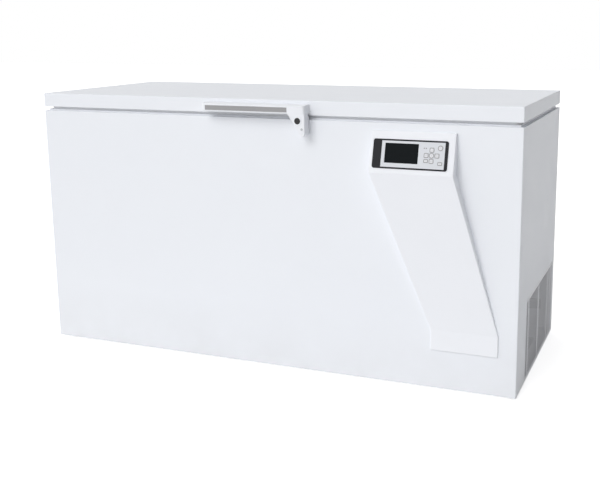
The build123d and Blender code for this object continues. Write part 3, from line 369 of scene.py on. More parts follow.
def powder_coat():
    """White powder paint with soft patches, orange peel and a patchy painted shade near the floor."""
    material, tree, shader, place = surface("powder_coat", coat_white, powder_roughness,
                                            specular=0.25)
    colour = blend(tree, noise(tree, place, scale=1.7, detail=3.0), coat_white, coat_cool)
    height = add(tree, "ShaderNodeSeparateXYZ", {0: place}).outputs["Z"]
    # Painted shade: a grey mixed in towards the floor, thinned in patches by a noise.
    low = remap(tree, height, shell_low, shell_low + floor_shade_height, floor_shade_share, 0.0)
    floor_shade_patches = noise(tree, place, scale=9.0, detail=4.0)
    patchy = remap(tree, floor_shade_patches, noise_low, noise_high, thinnest_floor_shade, 1.0)
    tone(tree, shader, calculate(tree, "MULTIPLY", low, patchy), colour, floor_shade_grey)
    gloss(tree, shader, noise(tree, place, scale=14.0, detail=5.0), low=0.46, high=0.58)
    relief(tree, shader, noise(tree, place, peel_scale), peel_depth, edge=sheet_edge)
    return material


print("painted floor shade reaches", round(floor_shade_height / mm), "mm up the panels")

# %% [markdown]
# ## Moulded plastic
#
# The control cover, the handle and the lock housing are injection moulded. Their mould was spark
# eroded, which leaves a matt grain of well under a millimetre. Their white is a touch off that of
# the panels, because plastic and powder coat never match exactly. The grey insert, the bezel and
# the key caps have the same recipe in other tones, and so has the grey coat of the grilles, whose
# grain is much alike.

# %% White, grey and black mouldings
grain_scale = 1500.0
grain_depth = 0.03 * mm


def moulding(name, colour, toned, roughness, edge=0.8 * mm, specular=0.5):
    """A moulded plastic with a spark-eroded grain and slow changes of tone."""
    material, tree, shader, place = surface(name, colour, roughness, specular=specular)
    tone(tree, shader, noise(tree, place, scale=5.0, detail=3.0), colour, toned)
    gloss(tree, shader, noise(tree, place, scale=45.0, detail=4.0),
          low=roughness - 0.05, high=roughness + 0.08)
    relief(tree, shader, noise(tree, place, grain_scale, detail=3.0), grain_depth, edge=edge)
    return material


print("grain:", round(1 / grain_scale / mm, 1), "mm")

# %% [markdown]
# ## Metals
#
# Galvanised steel shows its zinc crystals as flat grey flakes, which a Voronoi pattern gives. Rolled
# or brushed metal is drawn out in one direction, so its noise is stretched along that axis. Copper
# darkens in patches where hands and flux have been.

# %% Zinc, brushed steel, aluminium and copper
zinc_grey = shade(0.56, 0.57, 0.59)
zinc_dark = shade(0.48, 0.49, 0.52)
zinc_pale = shade(0.68, 0.69, 0.70)
flake_scale = 95.0
copper_bright = shade(0.80, 0.42, 0.27)
copper_dark = shade(0.36, 0.17, 0.10)
metal_edge = 0.5 * mm


def galvanised():
    """Zinc-coated sheet with its crystal pattern."""
    material, tree, shader, place = surface("galvanised", zinc_grey, roughness=0.42, metallic=0.85)
    flakes = add(tree, "ShaderNodeTexVoronoi", {"Vector": place, "Scale": flake_scale}).outputs["Color"]
    flake = add(tree, "ShaderNodeSeparateXYZ", {0: flakes}).outputs["X"]
    tone(tree, shader, flake, zinc_dark, zinc_pale)
    gloss(tree, shader, flake, low=0.34, high=0.52, pattern_low=0.0, pattern_high=1.0)
    relief(tree, shader, noise(tree, place, scale=240.0), depth=0.03 * mm, edge=metal_edge)
    return material


def brushed(name, colour, bright, roughness, stretch):
    """Metal brushed or rolled along the axis that has the smallest stretch."""
    material, tree, shader, place = surface(name, colour, roughness, metallic=1.0)
    lines = noise(tree, stretched(tree, place, stretch), scale=1.0, detail=4.0)
    tone(tree, shader, lines, colour, bright)
    gloss(tree, shader, lines, low=roughness - 0.06, high=roughness + 0.10)
    relief(tree, shader, lines, depth=0.02 * mm, edge=metal_edge)
    return material


def copper_tube():
    """Drawn copper with darker, oxidised patches."""
    material, tree, shader, place = surface("copper_tube", copper_bright, roughness=0.3, metallic=1.0)
    patches = remap(tree, noise(tree, place, scale=38.0, detail=5.0), low=0.45, high=0.7,
                    new_low=0.0, new_high=1.0)
    tone(tree, shader, patches, copper_bright, copper_dark)
    gloss(tree, shader, patches, low=0.24, high=0.55, pattern_low=0.0, pattern_high=1.0)
    relief(tree, shader, noise(tree, place, scale=600.0), depth=0.02 * mm)
    return material


print("zinc flakes:", round(1 / flake_scale / mm), "mm")

# %% [markdown]
# ## Soft, foamed and printed materials
#
# The seal and the feet are soft vinyl and rubber, with a dry and dusty sheen. The insulation between
# the walls is yellowish foam with open cells where it was cut. The circuit board has its green
# lacquer, and the compressors' pots are dipped in enamel. The display is a dark pane, and the plate
# round the keys is a printed foil.

# %% Vinyl and rubber, and foam
foam_cream = shade(0.80, 0.68, 0.42)
foam_pale = shade(0.82, 0.71, 0.46)
foam_dark = shade(0.70, 0.55, 0.30)
foam_cell_scale = 700.0


def soft_vinyl(name, colour, toned, roughness):
    """Soft extruded vinyl or rubber, dry to the touch."""
    material, tree, shader, place = surface(name, colour, roughness, specular=0.35)
    tone(tree, shader, noise(tree, place, scale=30.0, detail=5.0), colour, toned)
    gloss(tree, shader, noise(tree, place, scale=120.0),
          low=roughness - 0.08, high=roughness + 0.06)
    relief(tree, shader, noise(tree, place, scale=900.0, detail=3.0), depth=0.05 * mm)
    return material


def cell_foam():
    """Rigid foam: cream, with cells a millimetre across."""
    material, tree, shader, place = surface("cell_foam", foam_cream, roughness=0.9, specular=0.2)
    cells = add(tree, "ShaderNodeTexVoronoi", {"Vector": place, "Scale": foam_cell_scale})
    tone(tree, shader, noise(tree, place, scale=12.0, detail=4.0), foam_pale, foam_dark)
    relief(tree, shader, cells.outputs["Distance"], depth=0.4 * mm)
    return material


print("foam cells:", round(1 / foam_cell_scale / mm, 1), "mm")

# %% Board lacquer and dipped enamel
lacquer_green = shade(0.02, 0.17, 0.07)
lacquer_dark = shade(0.02, 0.16, 0.07)
track_green = shade(0.05, 0.28, 0.12)
track_scale = 90.0


def board_lacquer():
    """Green solder lacquer over faint tracks."""
    material, tree, shader, place = surface("board_lacquer", lacquer_green, roughness=0.3, coat=0.4)
    tracks = add(tree, "ShaderNodeTexBrick", {"Vector": place, "Scale": track_scale}).outputs["Fac"]
    tone(tree, shader, tracks, lacquer_dark, track_green)
    relief(tree, shader, tracks, depth=0.04 * mm)
    return material


def enamel(name, colour, toned):
    """Dipped enamel on pressed steel, glossy and slightly uneven."""
    material, tree, shader, place = surface(name, colour, roughness=0.28, coat=0.5,
                                            coat_roughness=0.1)
    tone(tree, shader, noise(tree, place, scale=20.0, detail=4.0), colour, toned)
    gloss(tree, shader, noise(tree, place, scale=60.0), low=0.22, high=0.40)
    relief(tree, shader, noise(tree, place, scale=150.0), depth=0.08 * mm)
    return material


print("board lacquer and enamel can be made")

# %% Display pane and keypad foil
pane_black = shade(0.004, 0.005, 0.007)
dot_dark = shade(0.003, 0.005, 0.006)
dot_pale = shade(0.006, 0.008, 0.010)
dot_scale = 1400.0
foil_silver = shade(0.68, 0.70, 0.74)
foil_dull = shade(0.66, 0.68, 0.72)
foil_bright = shade(0.73, 0.745, 0.78)
sparkle_scale = 2600.0


def display_glass():
    """The dark display pane, with a trace of the panel's dot grid under it."""
    material, tree, shader, place = surface("display_glass", pane_black, roughness=0.16, specular=0.1)
    dots = add(tree, "ShaderNodeTexChecker", {"Vector": place, "Scale": dot_scale}).outputs["Fac"]
    tone(tree, shader, dots, dot_dark, dot_pale)
    smears = noise(tree, place, scale=25.0, detail=4.0)
    gloss(tree, shader, smears, low=0.12, high=0.26)
    relief(tree, shader, smears, depth=0.01 * mm)
    return material


def printed_plate():
    """The keypad's foil: pale silver with a fine sparkle in its print."""
    material, tree, shader, place = surface("printed_plate", foil_silver, roughness=0.42, specular=0.3)
    sparkle = noise(tree, place, sparkle_scale)
    tone(tree, shader, sparkle, foil_dull, foil_bright)
    gloss(tree, shader, sparkle, low=0.32, high=0.46)
    relief(tree, shader, noise(tree, place, scale=1200.0), depth=0.01 * mm, edge=0.2 * mm)
    return material


print("display dots:", round(1 / dot_scale / mm, 1), "mm")

# %% [markdown]
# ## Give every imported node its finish
#
# Each node names a material slot. The slots are matched to the recipes once, and the loop dresses all
# nodes. A node without a recipe would stop the script, so none is left in its plain colour.

# %% Match the slots and dress the nodes
finishes = {
    "white_paint": powder_coat(),
    "zinc_steel": galvanised(),
    "tank_steel": brushed("tank_sheet", shade(0.62, 0.63, 0.64), shade(0.78, 0.79, 0.80),
                          roughness=0.34, stretch=(6.0, 6.0, 700.0)),
    "foam": cell_foam(),
    "white_plastic": moulding("white_moulding", shade(0.87, 0.885, 0.925), shade(0.84, 0.857, 0.90),
                              roughness=0.42),
    "strip_grey": moulding("grey_insert", shade(0.36, 0.355, 0.36), shade(0.31, 0.31, 0.32),
                           roughness=0.38, edge=0.4 * mm),
    "seal_grey": soft_vinyl("seal_vinyl", shade(0.80, 0.81, 0.84), shade(0.72, 0.73, 0.76),
                            roughness=0.6),
    "bezel_black": moulding("bezel_moulding", shade(0.018, 0.018, 0.021), shade(0.026, 0.026, 0.030),
                            roughness=0.46, edge=0.6 * mm, specular=0.2),
    "keypad_silver": printed_plate(),
    "key_grey": moulding("key_caps", shade(0.76, 0.765, 0.79), shade(0.72, 0.725, 0.76),
                         roughness=0.45, edge=0.4 * mm),
    "display_dark": display_glass(),
    "board_green": board_lacquer(),
    "grille_grey": moulding("grille_coat", shade(0.60, 0.61, 0.65), shade(0.54, 0.55, 0.59),
                            roughness=0.40, edge=0.4 * mm),
    "black_rubber": soft_vinyl("foot_rubber", shade(0.022, 0.022, 0.023), shade(0.05, 0.05, 0.05),
                               roughness=0.75),
    "black_enamel": enamel("pot_enamel", shade(0.012, 0.012, 0.013), shade(0.020, 0.020, 0.022)),
    "copper": copper_tube(),
    "aluminium": brushed("rolled_aluminium", shade(0.70, 0.71, 0.72), shade(0.84, 0.85, 0.86),
                         roughness=0.38, stretch=(4.0, 500.0, 500.0)),
    "black_plastic": moulding("black_moulding", shade(0.018, 0.018, 0.019), shade(0.03, 0.03, 0.032),
                              roughness=0.5),
    "box_grey": enamel("box_enamel", shade(0.40, 0.42, 0.44), shade(0.36, 0.38, 0.40)),
    "lock_black": moulding("lock_face", shade(0.012, 0.012, 0.013), shade(0.02, 0.02, 0.021),
                           roughness=0.35, edge=0.2 * mm),
    "lock_zinc": brushed("cast_zinc", shade(0.58, 0.58, 0.60), shade(0.68, 0.68, 0.70),
                         roughness=0.4, stretch=(300.0, 300.0, 300.0)),
}
for node in nodes.values():
    slot_name = node.material_slots[0].material.name
    node.material_slots[0].material = finishes[slot_name]
print("finishes:", len(finishes), "nodes dressed:", len(nodes))

# %% [markdown]
# ## Pieces from Geometry Nodes
#
# Screws, louvre ends and fins repeat, and the seal follows the lid's edge. Each of them is a Geometry
# Nodes tree with named inputs. The tree runs once on an empty mesh, and the result is kept as a plain
# mesh, because the piece has to be fixed before it rides on a body. A piece with only a few faces of
# its own, such as a rim or a trim, is drawn point by point instead.

# %% Open, close and run a tree
def new_tree(name, inputs):
    """An empty tree with named inputs, given as name and socket type, and one geometry output."""
    tree = bpy.data.node_groups.new(name, "GeometryNodeTree")
    for label, kind in inputs.items():
        tree.interface.new_socket(label, in_out="INPUT", socket_type="NodeSocket" + kind)
    tree.interface.new_socket("Geometry", in_out="OUTPUT", socket_type="NodeSocketGeometry")
    return tree, add(tree, "NodeGroupInput").outputs


def close_tree(tree, geometry, finish):
    """Ends a tree: instances become real mesh and get their material."""
    real = add(tree, "GeometryNodeRealizeInstances", {0: geometry}).outputs[0]
    dressed = add(tree, "GeometryNodeSetMaterial", {"Geometry": real, "Material": finish}).outputs[0]
    add(tree, "NodeGroupOutput", {"Geometry": dressed})


def grow(name, tree, values):
    """Runs a tree with the given values and returns its result as an object with a plain mesh."""
    piece = bpy.data.objects.new(name, bpy.data.meshes.new(name))
    scene.collection.objects.link(piece)
    modifier = piece.modifiers.new(name, "NODES")
    modifier.node_group = tree
    for item in tree.interface.items_tree:
        if item.in_out == "INPUT":
            modifier[item.identifier] = values[item.name]
    graph = bpy.context.evaluated_depsgraph_get()
    made = bpy.data.meshes.new_from_object(piece.evaluated_get(graph), depsgraph=graph)
    piece.modifiers.remove(modifier)
    piece.data = made
    print(name, "faces:", len(made.polygons))
    return piece


print("tree helpers ready")

# %% Keep a piece that is drawn point by point
def place_on(piece, body):
    """Lets a piece ride on a body."""
    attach(piece, body)
    return piece


def keep_shape(shape, name):
    """Turns a drawn shape into an object with a plain mesh."""
    mesh = bpy.data.meshes.new(name)
    shape.to_mesh(mesh)
    shape.free()
    piece = bpy.data.objects.new(name, mesh)
    scene.collection.objects.link(piece)
    print(name, "faces:", len(mesh.polygons))
    return piece


def keep_solid(shape, name, body, slot_name):
    """Turns the faces of a closed shape outwards, dresses it and lets it ride on a body."""
    bmesh.ops.recalc_face_normals(shape, faces=shape.faces[:])
    piece = keep_shape(shape, name)
    piece.data.materials.append(finishes[slot_name])
    return place_on(piece, body)


print("shape helpers ready")

# %% [markdown]
# ## Screws
#
# Pan-head screws hold the rear panel and the hinges. One head is turned as rings of sixteen points: a
# low dome, and a four-armed recess for the driver. The head is only a model to copy, and it is removed
# at the end.

# %% Turn one screw head
screw_points = 16
screw_radius = 4.2 * mm
screw_height = 2.0 * mm
# Radius and height of each ring and half width of its arms, as shares of the head's
head_rings = [(1.00, 0.00, 0.0), (1.00, 0.40, 0.0), (0.86, 0.80, 0.0), (0.62, 1.00, 0.0),
              (0.50, 1.00, 0.18), (0.34, 0.35, 0.12)]


def ring_of(shape, radius, height, arms):
    """A ring of vertices; with arms, three of every four points are pulled in towards the middle."""
    ring = []
    for index in range(screw_points):
        reach = radius if index % 4 == 0 or not arms else arms
        angle = 2 * pi * index / screw_points
        ring.append(shape.verts.new((reach * cos(angle), reach * sin(angle), height)))
    return ring


def screw_head(name, radius, height):
    """A pan head with a cross recess, with its underside at height 0."""
    shape = bmesh.new()
    rings = [ring_of(shape, reach * radius, rise * height, arms * radius)
             for reach, rise, arms in head_rings]
    for lower, upper in zip(rings, rings[1:]):
        for index in range(screw_points):
            ahead = (index + 1) % screw_points
            shape.faces.new((lower[index], lower[ahead], upper[ahead], upper[index]))
    shape.faces.new(list(reversed(rings[0])))
    shape.faces.new(rings[-1])
    return keep_shape(shape, name)


panel_screw = screw_head("screw_model", screw_radius, screw_height)

# %% A tree that sets screws out in rows and columns
screw_tree, given = new_tree("screw_rows", {
    "Screw": "Object", "Across": "Float", "Up": "Float", "Columns": "Int", "Rows": "Int",
    "Middle": "Vector", "Turn": "Vector", "Finish": "Material"})
pattern = add(screw_tree, "GeometryNodeMeshGrid", {
    "Size X": given["Across"], "Size Y": given["Up"],
    "Vertices X": given["Columns"], "Vertices Y": given["Rows"]})
model = add(screw_tree, "GeometryNodeObjectInfo", {"Object": given["Screw"]})
copies = add(screw_tree, "GeometryNodeInstanceOnPoints", {
    "Points": pattern.outputs["Mesh"], "Instance": model.outputs["Geometry"]})
moved = add(screw_tree, "GeometryNodeTransform", {
    "Geometry": copies.outputs[0], "Translation": given["Middle"], "Rotation": given["Turn"]})
close_tree(screw_tree, moved.outputs[0], given["Finish"])

facing_rearwards = (-pi / 2, 0.0, 0.0)


def rear_screws(name, body, middle, across, up, columns, rows):
    """Screws that look to the rear, in columns and rows round a middle point."""
    piece = grow(name, screw_tree, {
        "Screw": panel_screw, "Across": across, "Up": up, "Columns": columns, "Rows": rows,
        "Middle": middle, "Turn": facing_rearwards, "Finish": finishes["zinc_steel"]})
    return place_on(piece, body)


print("screw rows ready")

# %% Screw the rear panel on
panel_margin = 11 * mm
rail_inset = 200 * mm
rear_middle = (rear_low + rear_high) / 2
rear_width = rear_high.x - rear_low.x - 2 * panel_margin
rear_height = rear_high.z - rear_low.z - 2 * panel_margin
rear_point = (rear_middle.x, rear_face, rear_middle.z)
rear_screws("rear_edge_screws", "cabinet", rear_point, rear_width, rear_height, columns=2, rows=5)
rear_screws("rear_rail_screws", "cabinet", rear_point, rear_width - 2 * rail_inset, rear_height,
            columns=6, rows=2)

# %% Screw the hinges on
hinge_screw_across = 22 * mm
leaf_screw_up = 20 * mm
base_screw_drop = 17 * mm
hinge_plate = 2.5 * mm
plate_face = rear_face + hinge_plate
for number in (1, 2, 3):
    leaf_low, leaf_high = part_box(f"hinge_leaf_{number}")
    on_lid = ((leaf_low.x + leaf_high.x) / 2, plate_face, (lid_low.z + lid_high.z) / 2)
    rear_screws(f"hinge_leaf_screws_{number}", "lid", on_lid, hinge_screw_across, leaf_screw_up,
                columns=2, rows=2)
    base_low, base_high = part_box(f"hinge_base_{number}")
    on_cabinet = ((base_low.x + base_high.x) / 2, plate_face, base_high.z - base_screw_drop)
    rear_screws(f"hinge_base_screws_{number}", "cabinet", on_cabinet, hinge_screw_across, 0.0,
                columns=2, rows=1)

# %% [markdown]
# ## Louvre ends and trim of the side grille
#
# The side grille is a pressed louvre sheet. Where a louvre ends beside a web, the sheet is drawn out
# into a small dome, and the rows of domes catch the light as pale vertical lines. The domes get the
# panels' white paint, paler than the grille's own grey coat, so these lines are partly a painted
# highlight. A dome is a flattened sphere, and one tree sets a column of them out at each web. A thin
# white trim frames the opening.

# %% Measure the grille's opening
grille_low, grille_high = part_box("side_grille")
grille_lap = 8 * mm
sheet_face = grille_high.x
opening_front = grille_low.y + grille_lap
opening_back = grille_high.y - grille_lap
opening_low = grille_low.z
opening_high = grille_high.z - grille_lap
print("opening:", round((opening_back - opening_front) / mm), "mm long,",
      round((opening_high - opening_low) / mm), "mm high")

# %% A tree that sets out a column of domes
dome_tree, given = new_tree("louvre_domes", {
    "Dome Size": "Vector", "Pitch": "Float", "Rows": "Int", "First": "Vector", "Finish": "Material"})
dome = add(dome_tree, "GeometryNodeMeshUVSphere", {"Segments": 10, "Rings": 6, "Radius": 1.0})
shaped = add(dome_tree, "GeometryNodeTransform", {
    "Geometry": dome.outputs["Mesh"], "Scale": given["Dome Size"]}).outputs[0]
step = add(dome_tree, "ShaderNodeCombineXYZ", {"Z": given["Pitch"]}).outputs[0]
column = add(dome_tree, "GeometryNodeMeshLine", {
    "Count": given["Rows"], "Start Location": given["First"], "Offset": step}, mode="OFFSET").outputs[0]
copies = add(dome_tree, "GeometryNodeInstanceOnPoints", {"Points": column, "Instance": shaped})
close_tree(dome_tree, copies.outputs[0], given["Finish"])
print("dome column ready")

# %% Set the domes out beside the webs
dome_size = (3.0 * mm, 7.0 * mm, 3.3 * mm)
dome_sunk = 1.9 * mm
dome_margin = 8 * mm
louvre_pitch = 9.6 * mm
louvre_rows = 27
louvre_first = 10.5 * mm
web_places = {"front": dome_margin, "first": 53 * mm, "second": 245 * mm, "third": 443 * mm,
              "fourth": 500 * mm, "back": opening_back - opening_front - dome_margin}
for web, from_front in web_places.items():
    # The white paint on the domes, paler than the grille's grey coat, is a painted highlight along the
    # webs.
    domes = grow(f"louvre_domes_{web}", dome_tree, {
        "Dome Size": dome_size, "Pitch": louvre_pitch, "Rows": louvre_rows,
        "First": (sheet_face - dome_sunk, opening_front + from_front, opening_low + louvre_first),
        "Finish": finishes["white_paint"]})
    place_on(domes, "cabinet")

# %% Frame the opening with a thin trim
trim_width = 6 * mm
trim_proud = 1.1 * mm
trim_play = 0.3 * mm


def framed(inset):
    """The opening's outline, shrunk by an inset, as points in Y and Z."""
    return [(opening_front + inset, opening_low + inset), (opening_back - inset, opening_low + inset),
            (opening_back - inset, opening_high - inset), (opening_front + inset, opening_high - inset)]


def ring_on_side(name, outer, inner, near, far, slot_name):
    """The space between two outlines on the right side, as a closed frame from near to far in X."""
    shape = bmesh.new()
    rings = [[shape.verts.new((x, y, z)) for y, z in outline]
             for x in (near, far) for outline in (outer, inner)]
    outer_near, inner_near, outer_far, inner_far = rings
    for first, second in ((outer_near, outer_far), (outer_far, inner_far), (inner_far, inner_near),
                          (inner_near, outer_near)):
        for index in range(len(outer)):
            ahead = (index + 1) % len(outer)
            shape.faces.new((first[index], first[ahead], second[ahead], second[index]))
    return keep_solid(shape, name, "cabinet", slot_name)


ring_on_side("grille_trim", framed(trim_play), framed(trim_play + trim_width),
             sheet_face, sheet_face + trim_proud, "white_paint")

# %% [markdown]
# ## The lid's seal
#
# The magnetic seal is one extruded vinyl profile, bent round the lid: a magnet chamber that meets the
# collar, a pleat that lets the seal stretch, and a base that plugs into the lid. A profile swept along
# a rounded rectangle is exactly how it is made, so Curve to Mesh does it.

# %% Draw the seal's profile
seal_low, seal_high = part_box("lid_gasket")
seal_width = 16 * mm
seal_height = seal_high.z - seal_low.z
# The right half of the profile, from the sealing face up to the lid, as shares of width and height
chamber = [(0.40, 0.0), (0.47, 0.03), (0.50, 0.10), (0.50, 0.32), (0.46, 0.40)]
pleat = [(0.26, 0.45), (0.22, 0.49), (0.24, 0.54), (0.41, 0.58), (0.43, 0.62), (0.40, 0.66),
         (0.25, 0.70), (0.24, 0.76)]
base = [(0.30, 0.80), (0.47, 0.84), (0.49, 0.88), (0.49, 1.0)]


def closed_curve(name, points):
    """A flat closed curve of straight runs."""
    data = bpy.data.curves.new(name, "CURVE")
    data.dimensions = "2D"
    data.fill_mode = "NONE"
    spline = data.splines.new("POLY")
    spline.points.add(len(points) - 1)
    for point, (x, y) in zip(spline.points, points):
        point.co = (x, y, 0.0, 1.0)
    spline.use_cyclic_u = True
    curve = bpy.data.objects.new(name, data)
    scene.collection.objects.link(curve)
    return curve


right_half = [(x * seal_width, (y - 0.5) * seal_height) for x, y in chamber + pleat + base]
left_half = [(-x, y) for x, y in reversed(right_half)]
seal_profile = closed_curve("seal_profile", right_half + left_half)
print("seal profile points:", len(right_half + left_half))

# %% A tree that sweeps a profile round a rectangle
seal_tree, given = new_tree("swept_seal", {
    "Length": "Float", "Depth": "Float", "Corner": "Float", "Corner Steps": "Int",
    "Profile": "Object", "Middle": "Vector", "Finish": "Material"})
path = add(seal_tree, "GeometryNodeCurvePrimitiveQuadrilateral", {
    "Width": given["Length"], "Height": given["Depth"]}).outputs[0]
rounded = add(seal_tree, "GeometryNodeFilletCurve", {
    "Curve": path, "Radius": given["Corner"], "Count": given["Corner Steps"]}, mode="POLY").outputs[0]
upright = add(seal_tree, "GeometryNodeSetCurveNormal", {"Curve": rounded}, mode="Z_UP").outputs[0]
section = add(seal_tree, "GeometryNodeObjectInfo", {"Object": given["Profile"]}).outputs["Geometry"]
turned = add(seal_tree, "GeometryNodeTransform", {
    "Geometry": section, "Rotation": (0.0, 0.0, pi / 2)}).outputs[0]
swept = add(seal_tree, "GeometryNodeCurveToMesh", {"Curve": upright, "Profile Curve": turned})
moved = add(seal_tree, "GeometryNodeTransform", {
    "Geometry": swept.outputs[0], "Translation": given["Middle"]})
close_tree(seal_tree, moved.outputs[0], given["Finish"])
print("seal sweep ready")

# %% Sweep the seal round the lid
seal_corner = 14 * mm
seal_corner_steps = 8
seal = grow("magnetic_seal", seal_tree, {
    "Length": seal_high.x - seal_low.x - seal_width, "Depth": seal_high.y - seal_low.y - seal_width,
    "Corner": seal_corner, "Corner Steps": seal_corner_steps, "Profile": seal_profile,
    "Middle": (seal_low + seal_high) / 2, "Finish": finishes["seal_grey"]})
place_on(seal, "lid")
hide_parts("lid_gasket")
bpy.data.objects.remove(seal_profile)
corner_heights = [Vector(corner).z for corner in seal.bound_box]
print("seal height:", round((max(corner_heights) - min(corner_heights)) / mm, 2), "mm")

# %% [markdown]
# ## Cooling fins of the condenser
#
# Between the condenser's flat tubes stand thin fins. They are all alike and evenly spaced, so a grid
# of points carries one fin each. They are seen through the rear grille only as a fine vertical
# texture, and a plain thin plate is enough for each.

# %% A tree that sets plates out on an upright grid
fin_tree, given = new_tree("condenser_fins", {
    "Fin Size": "Vector", "Across": "Float", "Up": "Float", "Columns": "Int", "Rows": "Int",
    "Middle": "Vector", "Finish": "Material"})
fin = add(fin_tree, "GeometryNodeMeshCube", {"Size": given["Fin Size"]}).outputs["Mesh"]
pattern = add(fin_tree, "GeometryNodeMeshGrid", {
    "Size X": given["Across"], "Size Y": given["Up"],
    "Vertices X": given["Columns"], "Vertices Y": given["Rows"]}).outputs["Mesh"]
stood = add(fin_tree, "GeometryNodeTransform", {
    "Geometry": pattern, "Translation": given["Middle"], "Rotation": (pi / 2, 0.0, 0.0)}).outputs[0]
copies = add(fin_tree, "GeometryNodeInstanceOnPoints", {"Points": stood, "Instance": fin})
close_tree(fin_tree, copies.outputs[0], given["Finish"])
print("fin grid ready")

# %% Set the fins out between the tubes
condenser_low, condenser_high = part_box("condenser")
fin_pitch = 3.2 * mm
fin_thickness = 0.3 * mm
fin_depth = 15 * mm
tube_pitch = 11 * mm
tube_thickness = 3 * mm
header_width = 18 * mm
tube_rows = int((condenser_high.z - condenser_low.z) // tube_pitch)
core_width = condenser_high.x - condenser_low.x - 2 * header_width - 2 * fin_pitch

fins = grow("condenser_fins", fin_tree, {
    "Fin Size": (fin_thickness, fin_depth, tube_pitch - tube_thickness), "Across": core_width,
    "Up": (tube_rows - 2) * tube_pitch, "Columns": int(core_width / fin_pitch), "Rows": tube_rows - 1,
    "Middle": (condenser_low + condenser_high) / 2, "Finish": finishes["aluminium"]})
place_on(fins, "cabinet")

# %% [markdown]
# ## The display face
#
# The display sits on the tilted head of the control cover, so its small parts are drawn flat, in
# millimetres across and up the face, and then laid on it. The face's tilt is read from the packed
# display pane: its largest side that looks forward gives the direction.

# %% Read the tilt of the display face
forward_enough = -0.5
face_tolerance = 0.1 * mm


def facing(node):
    """The direction that the largest forward side of a node looks in."""
    sides = [side for side in node.data.polygons if side.normal.y < forward_enough]
    return max(sides, key=lambda side: side.area).normal.normalized()


out = facing(nodes["display_window"])
across = Vector((1.0, 0.0, 0.0))
up = out.cross(across).normalized()
print("display tilt:", round(90 - degrees(atan2(-out.y, out.z)), 1), "degrees")

# %% Find and measure a node's foremost face
def foremost(node):
    """How far out a node reaches on the display face, and its points that lie there."""
    points = [vertex.co for vertex in node.data.vertices]
    reach = max(point.dot(out) for point in points)
    return reach, [point for point in points if point.dot(out) > reach - face_tolerance]


def extent(values):
    """The lowest and the highest of some values."""
    values = list(values)
    return min(values), max(values)


def front_of(node):
    """The middle of a node's foremost face, as a point in the freezer's frame."""
    reach, points = foremost(node)
    left, right = extent(point.x for point in points)
    low, high = extent(point.dot(up) for point in points)
    return across * (left + right) / 2 + up * (low + high) / 2 + out * reach


def face_size(node):
    """The width across and the height up of a node's foremost face."""
    points = foremost(node)[1]
    left, right = extent(point.x for point in points)
    low, high = extent(point.dot(up) for point in points)
    return right - left, high - low


print("keypad plate:", [round(size / mm, 1) for size in face_size(nodes["keypad_plate"])], "mm")

# %% [markdown]
# ## Rims and signs on the keys
#
# Each key has a grey rim and a plain sign: an arrow for each of four directions, a standing bar for
# power, a lying bar for back, a pair of bars for mute and a dot for the middle key. They are raised a
# tenth of a millimetre, as a printed foil is. A rim is the space between two outlines of the key, and
# a sign is one flat shape or two.

# %% Draw flat shapes on the display face
print_height = 0.1 * mm
merge_distance = 0.01 * mm
arc_steps = 5


def rounded_outline(width, height, radius):
    """A rectangle with round corners, counter-clockwise, in metres."""
    points = []
    middles = [(1, 1), (-1, 1), (-1, -1), (1, -1)]
    for quarter, (side, end) in enumerate(middles):
        for step in range(arc_steps + 1):
            angle = pi / 2 * (quarter + step / arc_steps)
            points.append((side * (width / 2 - radius) + radius * cos(angle),
                           end * (height / 2 - radius) + radius * sin(angle)))
    return points


def raise_shape(name, faces, centre, slot_name, body):
    """Flat faces, given as points across and up from a centre, raised into a thin solid."""
    shape = bmesh.new()
    for face in faces:
        shape.faces.new([shape.verts.new(centre + across * x + up * y) for x, y in face])
    bmesh.ops.remove_doubles(shape, verts=shape.verts, dist=merge_distance)
    grown = bmesh.ops.extrude_face_region(shape, geom=shape.faces[:])
    lifted = [item for item in grown["geom"] if isinstance(item, bmesh.types.BMVert)]
    bmesh.ops.translate(shape, verts=lifted, vec=out * print_height)
    return keep_solid(shape, name, body, slot_name)


def ring_faces(outer, inner):
    """The quads between two outlines that have the same number of points."""
    count = len(outer)
    return [(outer[i], outer[(i + 1) % count], inner[(i + 1) % count], inner[i]) for i in range(count)]


print("printed shapes are", round(print_height / mm, 2), "mm high")

# %% Give each key its rim
rim_width = 2.2 * mm
rim_inset = 0.1 * mm
key_corner = 3 * mm
key_names = ("ok", "up", "down", "left", "right", "back", "power", "mute")
round_keys = ("ok", "power")
for key in key_names:
    node = nodes[f"key_{key}"]
    width, height = face_size(node)
    radius = width / 2 if key in round_keys else key_corner
    outer = rounded_outline(width - 2 * rim_inset, height - 2 * rim_inset, radius - rim_inset)
    shrink = rim_inset + rim_width
    inner = rounded_outline(width - 2 * shrink, height - 2 * shrink, radius - shrink)
    raise_shape(f"key_{key}_rim", ring_faces(outer, inner), front_of(node), "strip_grey",
                f"key_{key}_body")

# %% Give each key its sign
arrow_size = 3.0 * mm
arrow_tail = -0.6 * arrow_size
bar_width = 1.0 * mm
bar_length = 4.0 * mm
pair_shift = 1.2 * mm
dot_size = 3 * mm
dot_corner = 1.4 * mm


def arrow(quarters):
    """A triangle that points right, turned counter-clockwise by quarter turns."""
    angle = quarters * pi / 2
    return [(x * cos(angle) - y * sin(angle), x * sin(angle) + y * cos(angle))
            for x, y in [(arrow_size, 0.0), (arrow_tail, arrow_size), (arrow_tail, -arrow_size)]]


def bar(width, height, shift=0.0):
    """A small rectangle, shifted up the face."""
    return [(-width / 2, shift - height / 2), (width / 2, shift - height / 2),
            (width / 2, shift + height / 2), (-width / 2, shift + height / 2)]


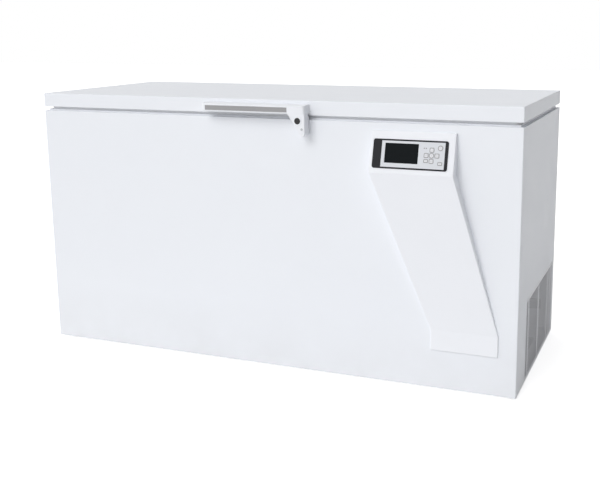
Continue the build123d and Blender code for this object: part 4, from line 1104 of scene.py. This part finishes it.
signs = {
    "up": [arrow(1)], "down": [arrow(3)], "left": [arrow(2)], "right": [arrow(0)],
    "power": [bar(bar_width, bar_length, shift=bar_length / 4)],
    "back": [bar(bar_length, bar_width)],
    "mute": [bar(bar_length, bar_width, pair_shift), bar(bar_length, bar_width, -pair_shift)],
    "ok": [rounded_outline(dot_size, dot_size, dot_corner)],
}
for key, faces in signs.items():
    raise_shape(f"key_{key}_sign", faces, front_of(nodes[f"key_{key}"]), "lock_zinc",
                f"key_{key}_body")

# %% [markdown]
# ## Status lights on the keypad
#
# Two small windows for status lights lie side by side in the plate's upper right corner. They are
# printed in the foil like the rims, so the same flat shapes serve, set out from the plate's middle.

# %% Add the pair of status lights
status_across = 39.5 * mm
status_up = 22.3 * mm
status_gap = 6.5 * mm
status_size = 3.6 * mm
status_corner = 0.8 * mm
plate_middle = front_of(nodes["keypad_plate"])
status_window = rounded_outline(status_size, status_size, status_corner)
for number, side in enumerate((-1, 1), start=1):
    centre = plate_middle + across * (status_across + side * status_gap / 2) + up * status_up
    raise_shape(f"status_light_{number}", [status_window], centre, "strip_grey", "cabinet")

# %% [markdown]
# ## The rib of the handle's insert
#
# The grey insert in the handle's front is an extruded strip with a low rib along its middle, where
# the fingers find it. It is one half round along X, drawn as two ends joined by long faces.

# %% Draw the rib along the insert
strip_low, strip_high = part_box("handle_strip")
rib_height = 1.6 * mm
rib_proud = 0.35 * mm
rib_margin = 4 * mm
rib_steps = 6


def half_round_rib(name, left, right, front, middle_height, body, slot_name):
    """A half-round rib along X that stands out of a front face."""
    shape = bmesh.new()
    ends = []
    for x in (left, right):
        ends.append([shape.verts.new((x, front - rib_proud * sin(pi * step / rib_steps),
                                      middle_height + rib_height / 2 * cos(pi * step / rib_steps)))
                     for step in range(rib_steps + 1)])
    for index in range(rib_steps + 1):
        ahead = (index + 1) % (rib_steps + 1)
        shape.faces.new((ends[0][index], ends[0][ahead], ends[1][ahead], ends[1][index]))
    for end in ends:
        shape.faces.new(end)
    return keep_solid(shape, name, body, slot_name)


half_round_rib("handle_insert_rib", strip_low.x + rib_margin, strip_high.x - rib_margin, strip_low.y,
               (strip_low.z + strip_high.z) / 2, "lid", "strip_grey")

# %% [markdown]
# ## Compare the sizes and finish
#
# The dressed freezer has to stay inside the box of the construction. The last line prints by how
# much it has grown beyond that box.

# %% Remove the model screw and compare both boxes
bpy.data.objects.remove(panel_screw)
low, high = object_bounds()
growth = (high - low) - (cad_high - cad_low)
print("grown by:", [round(length / mm, 2) for length in growth], "mm")
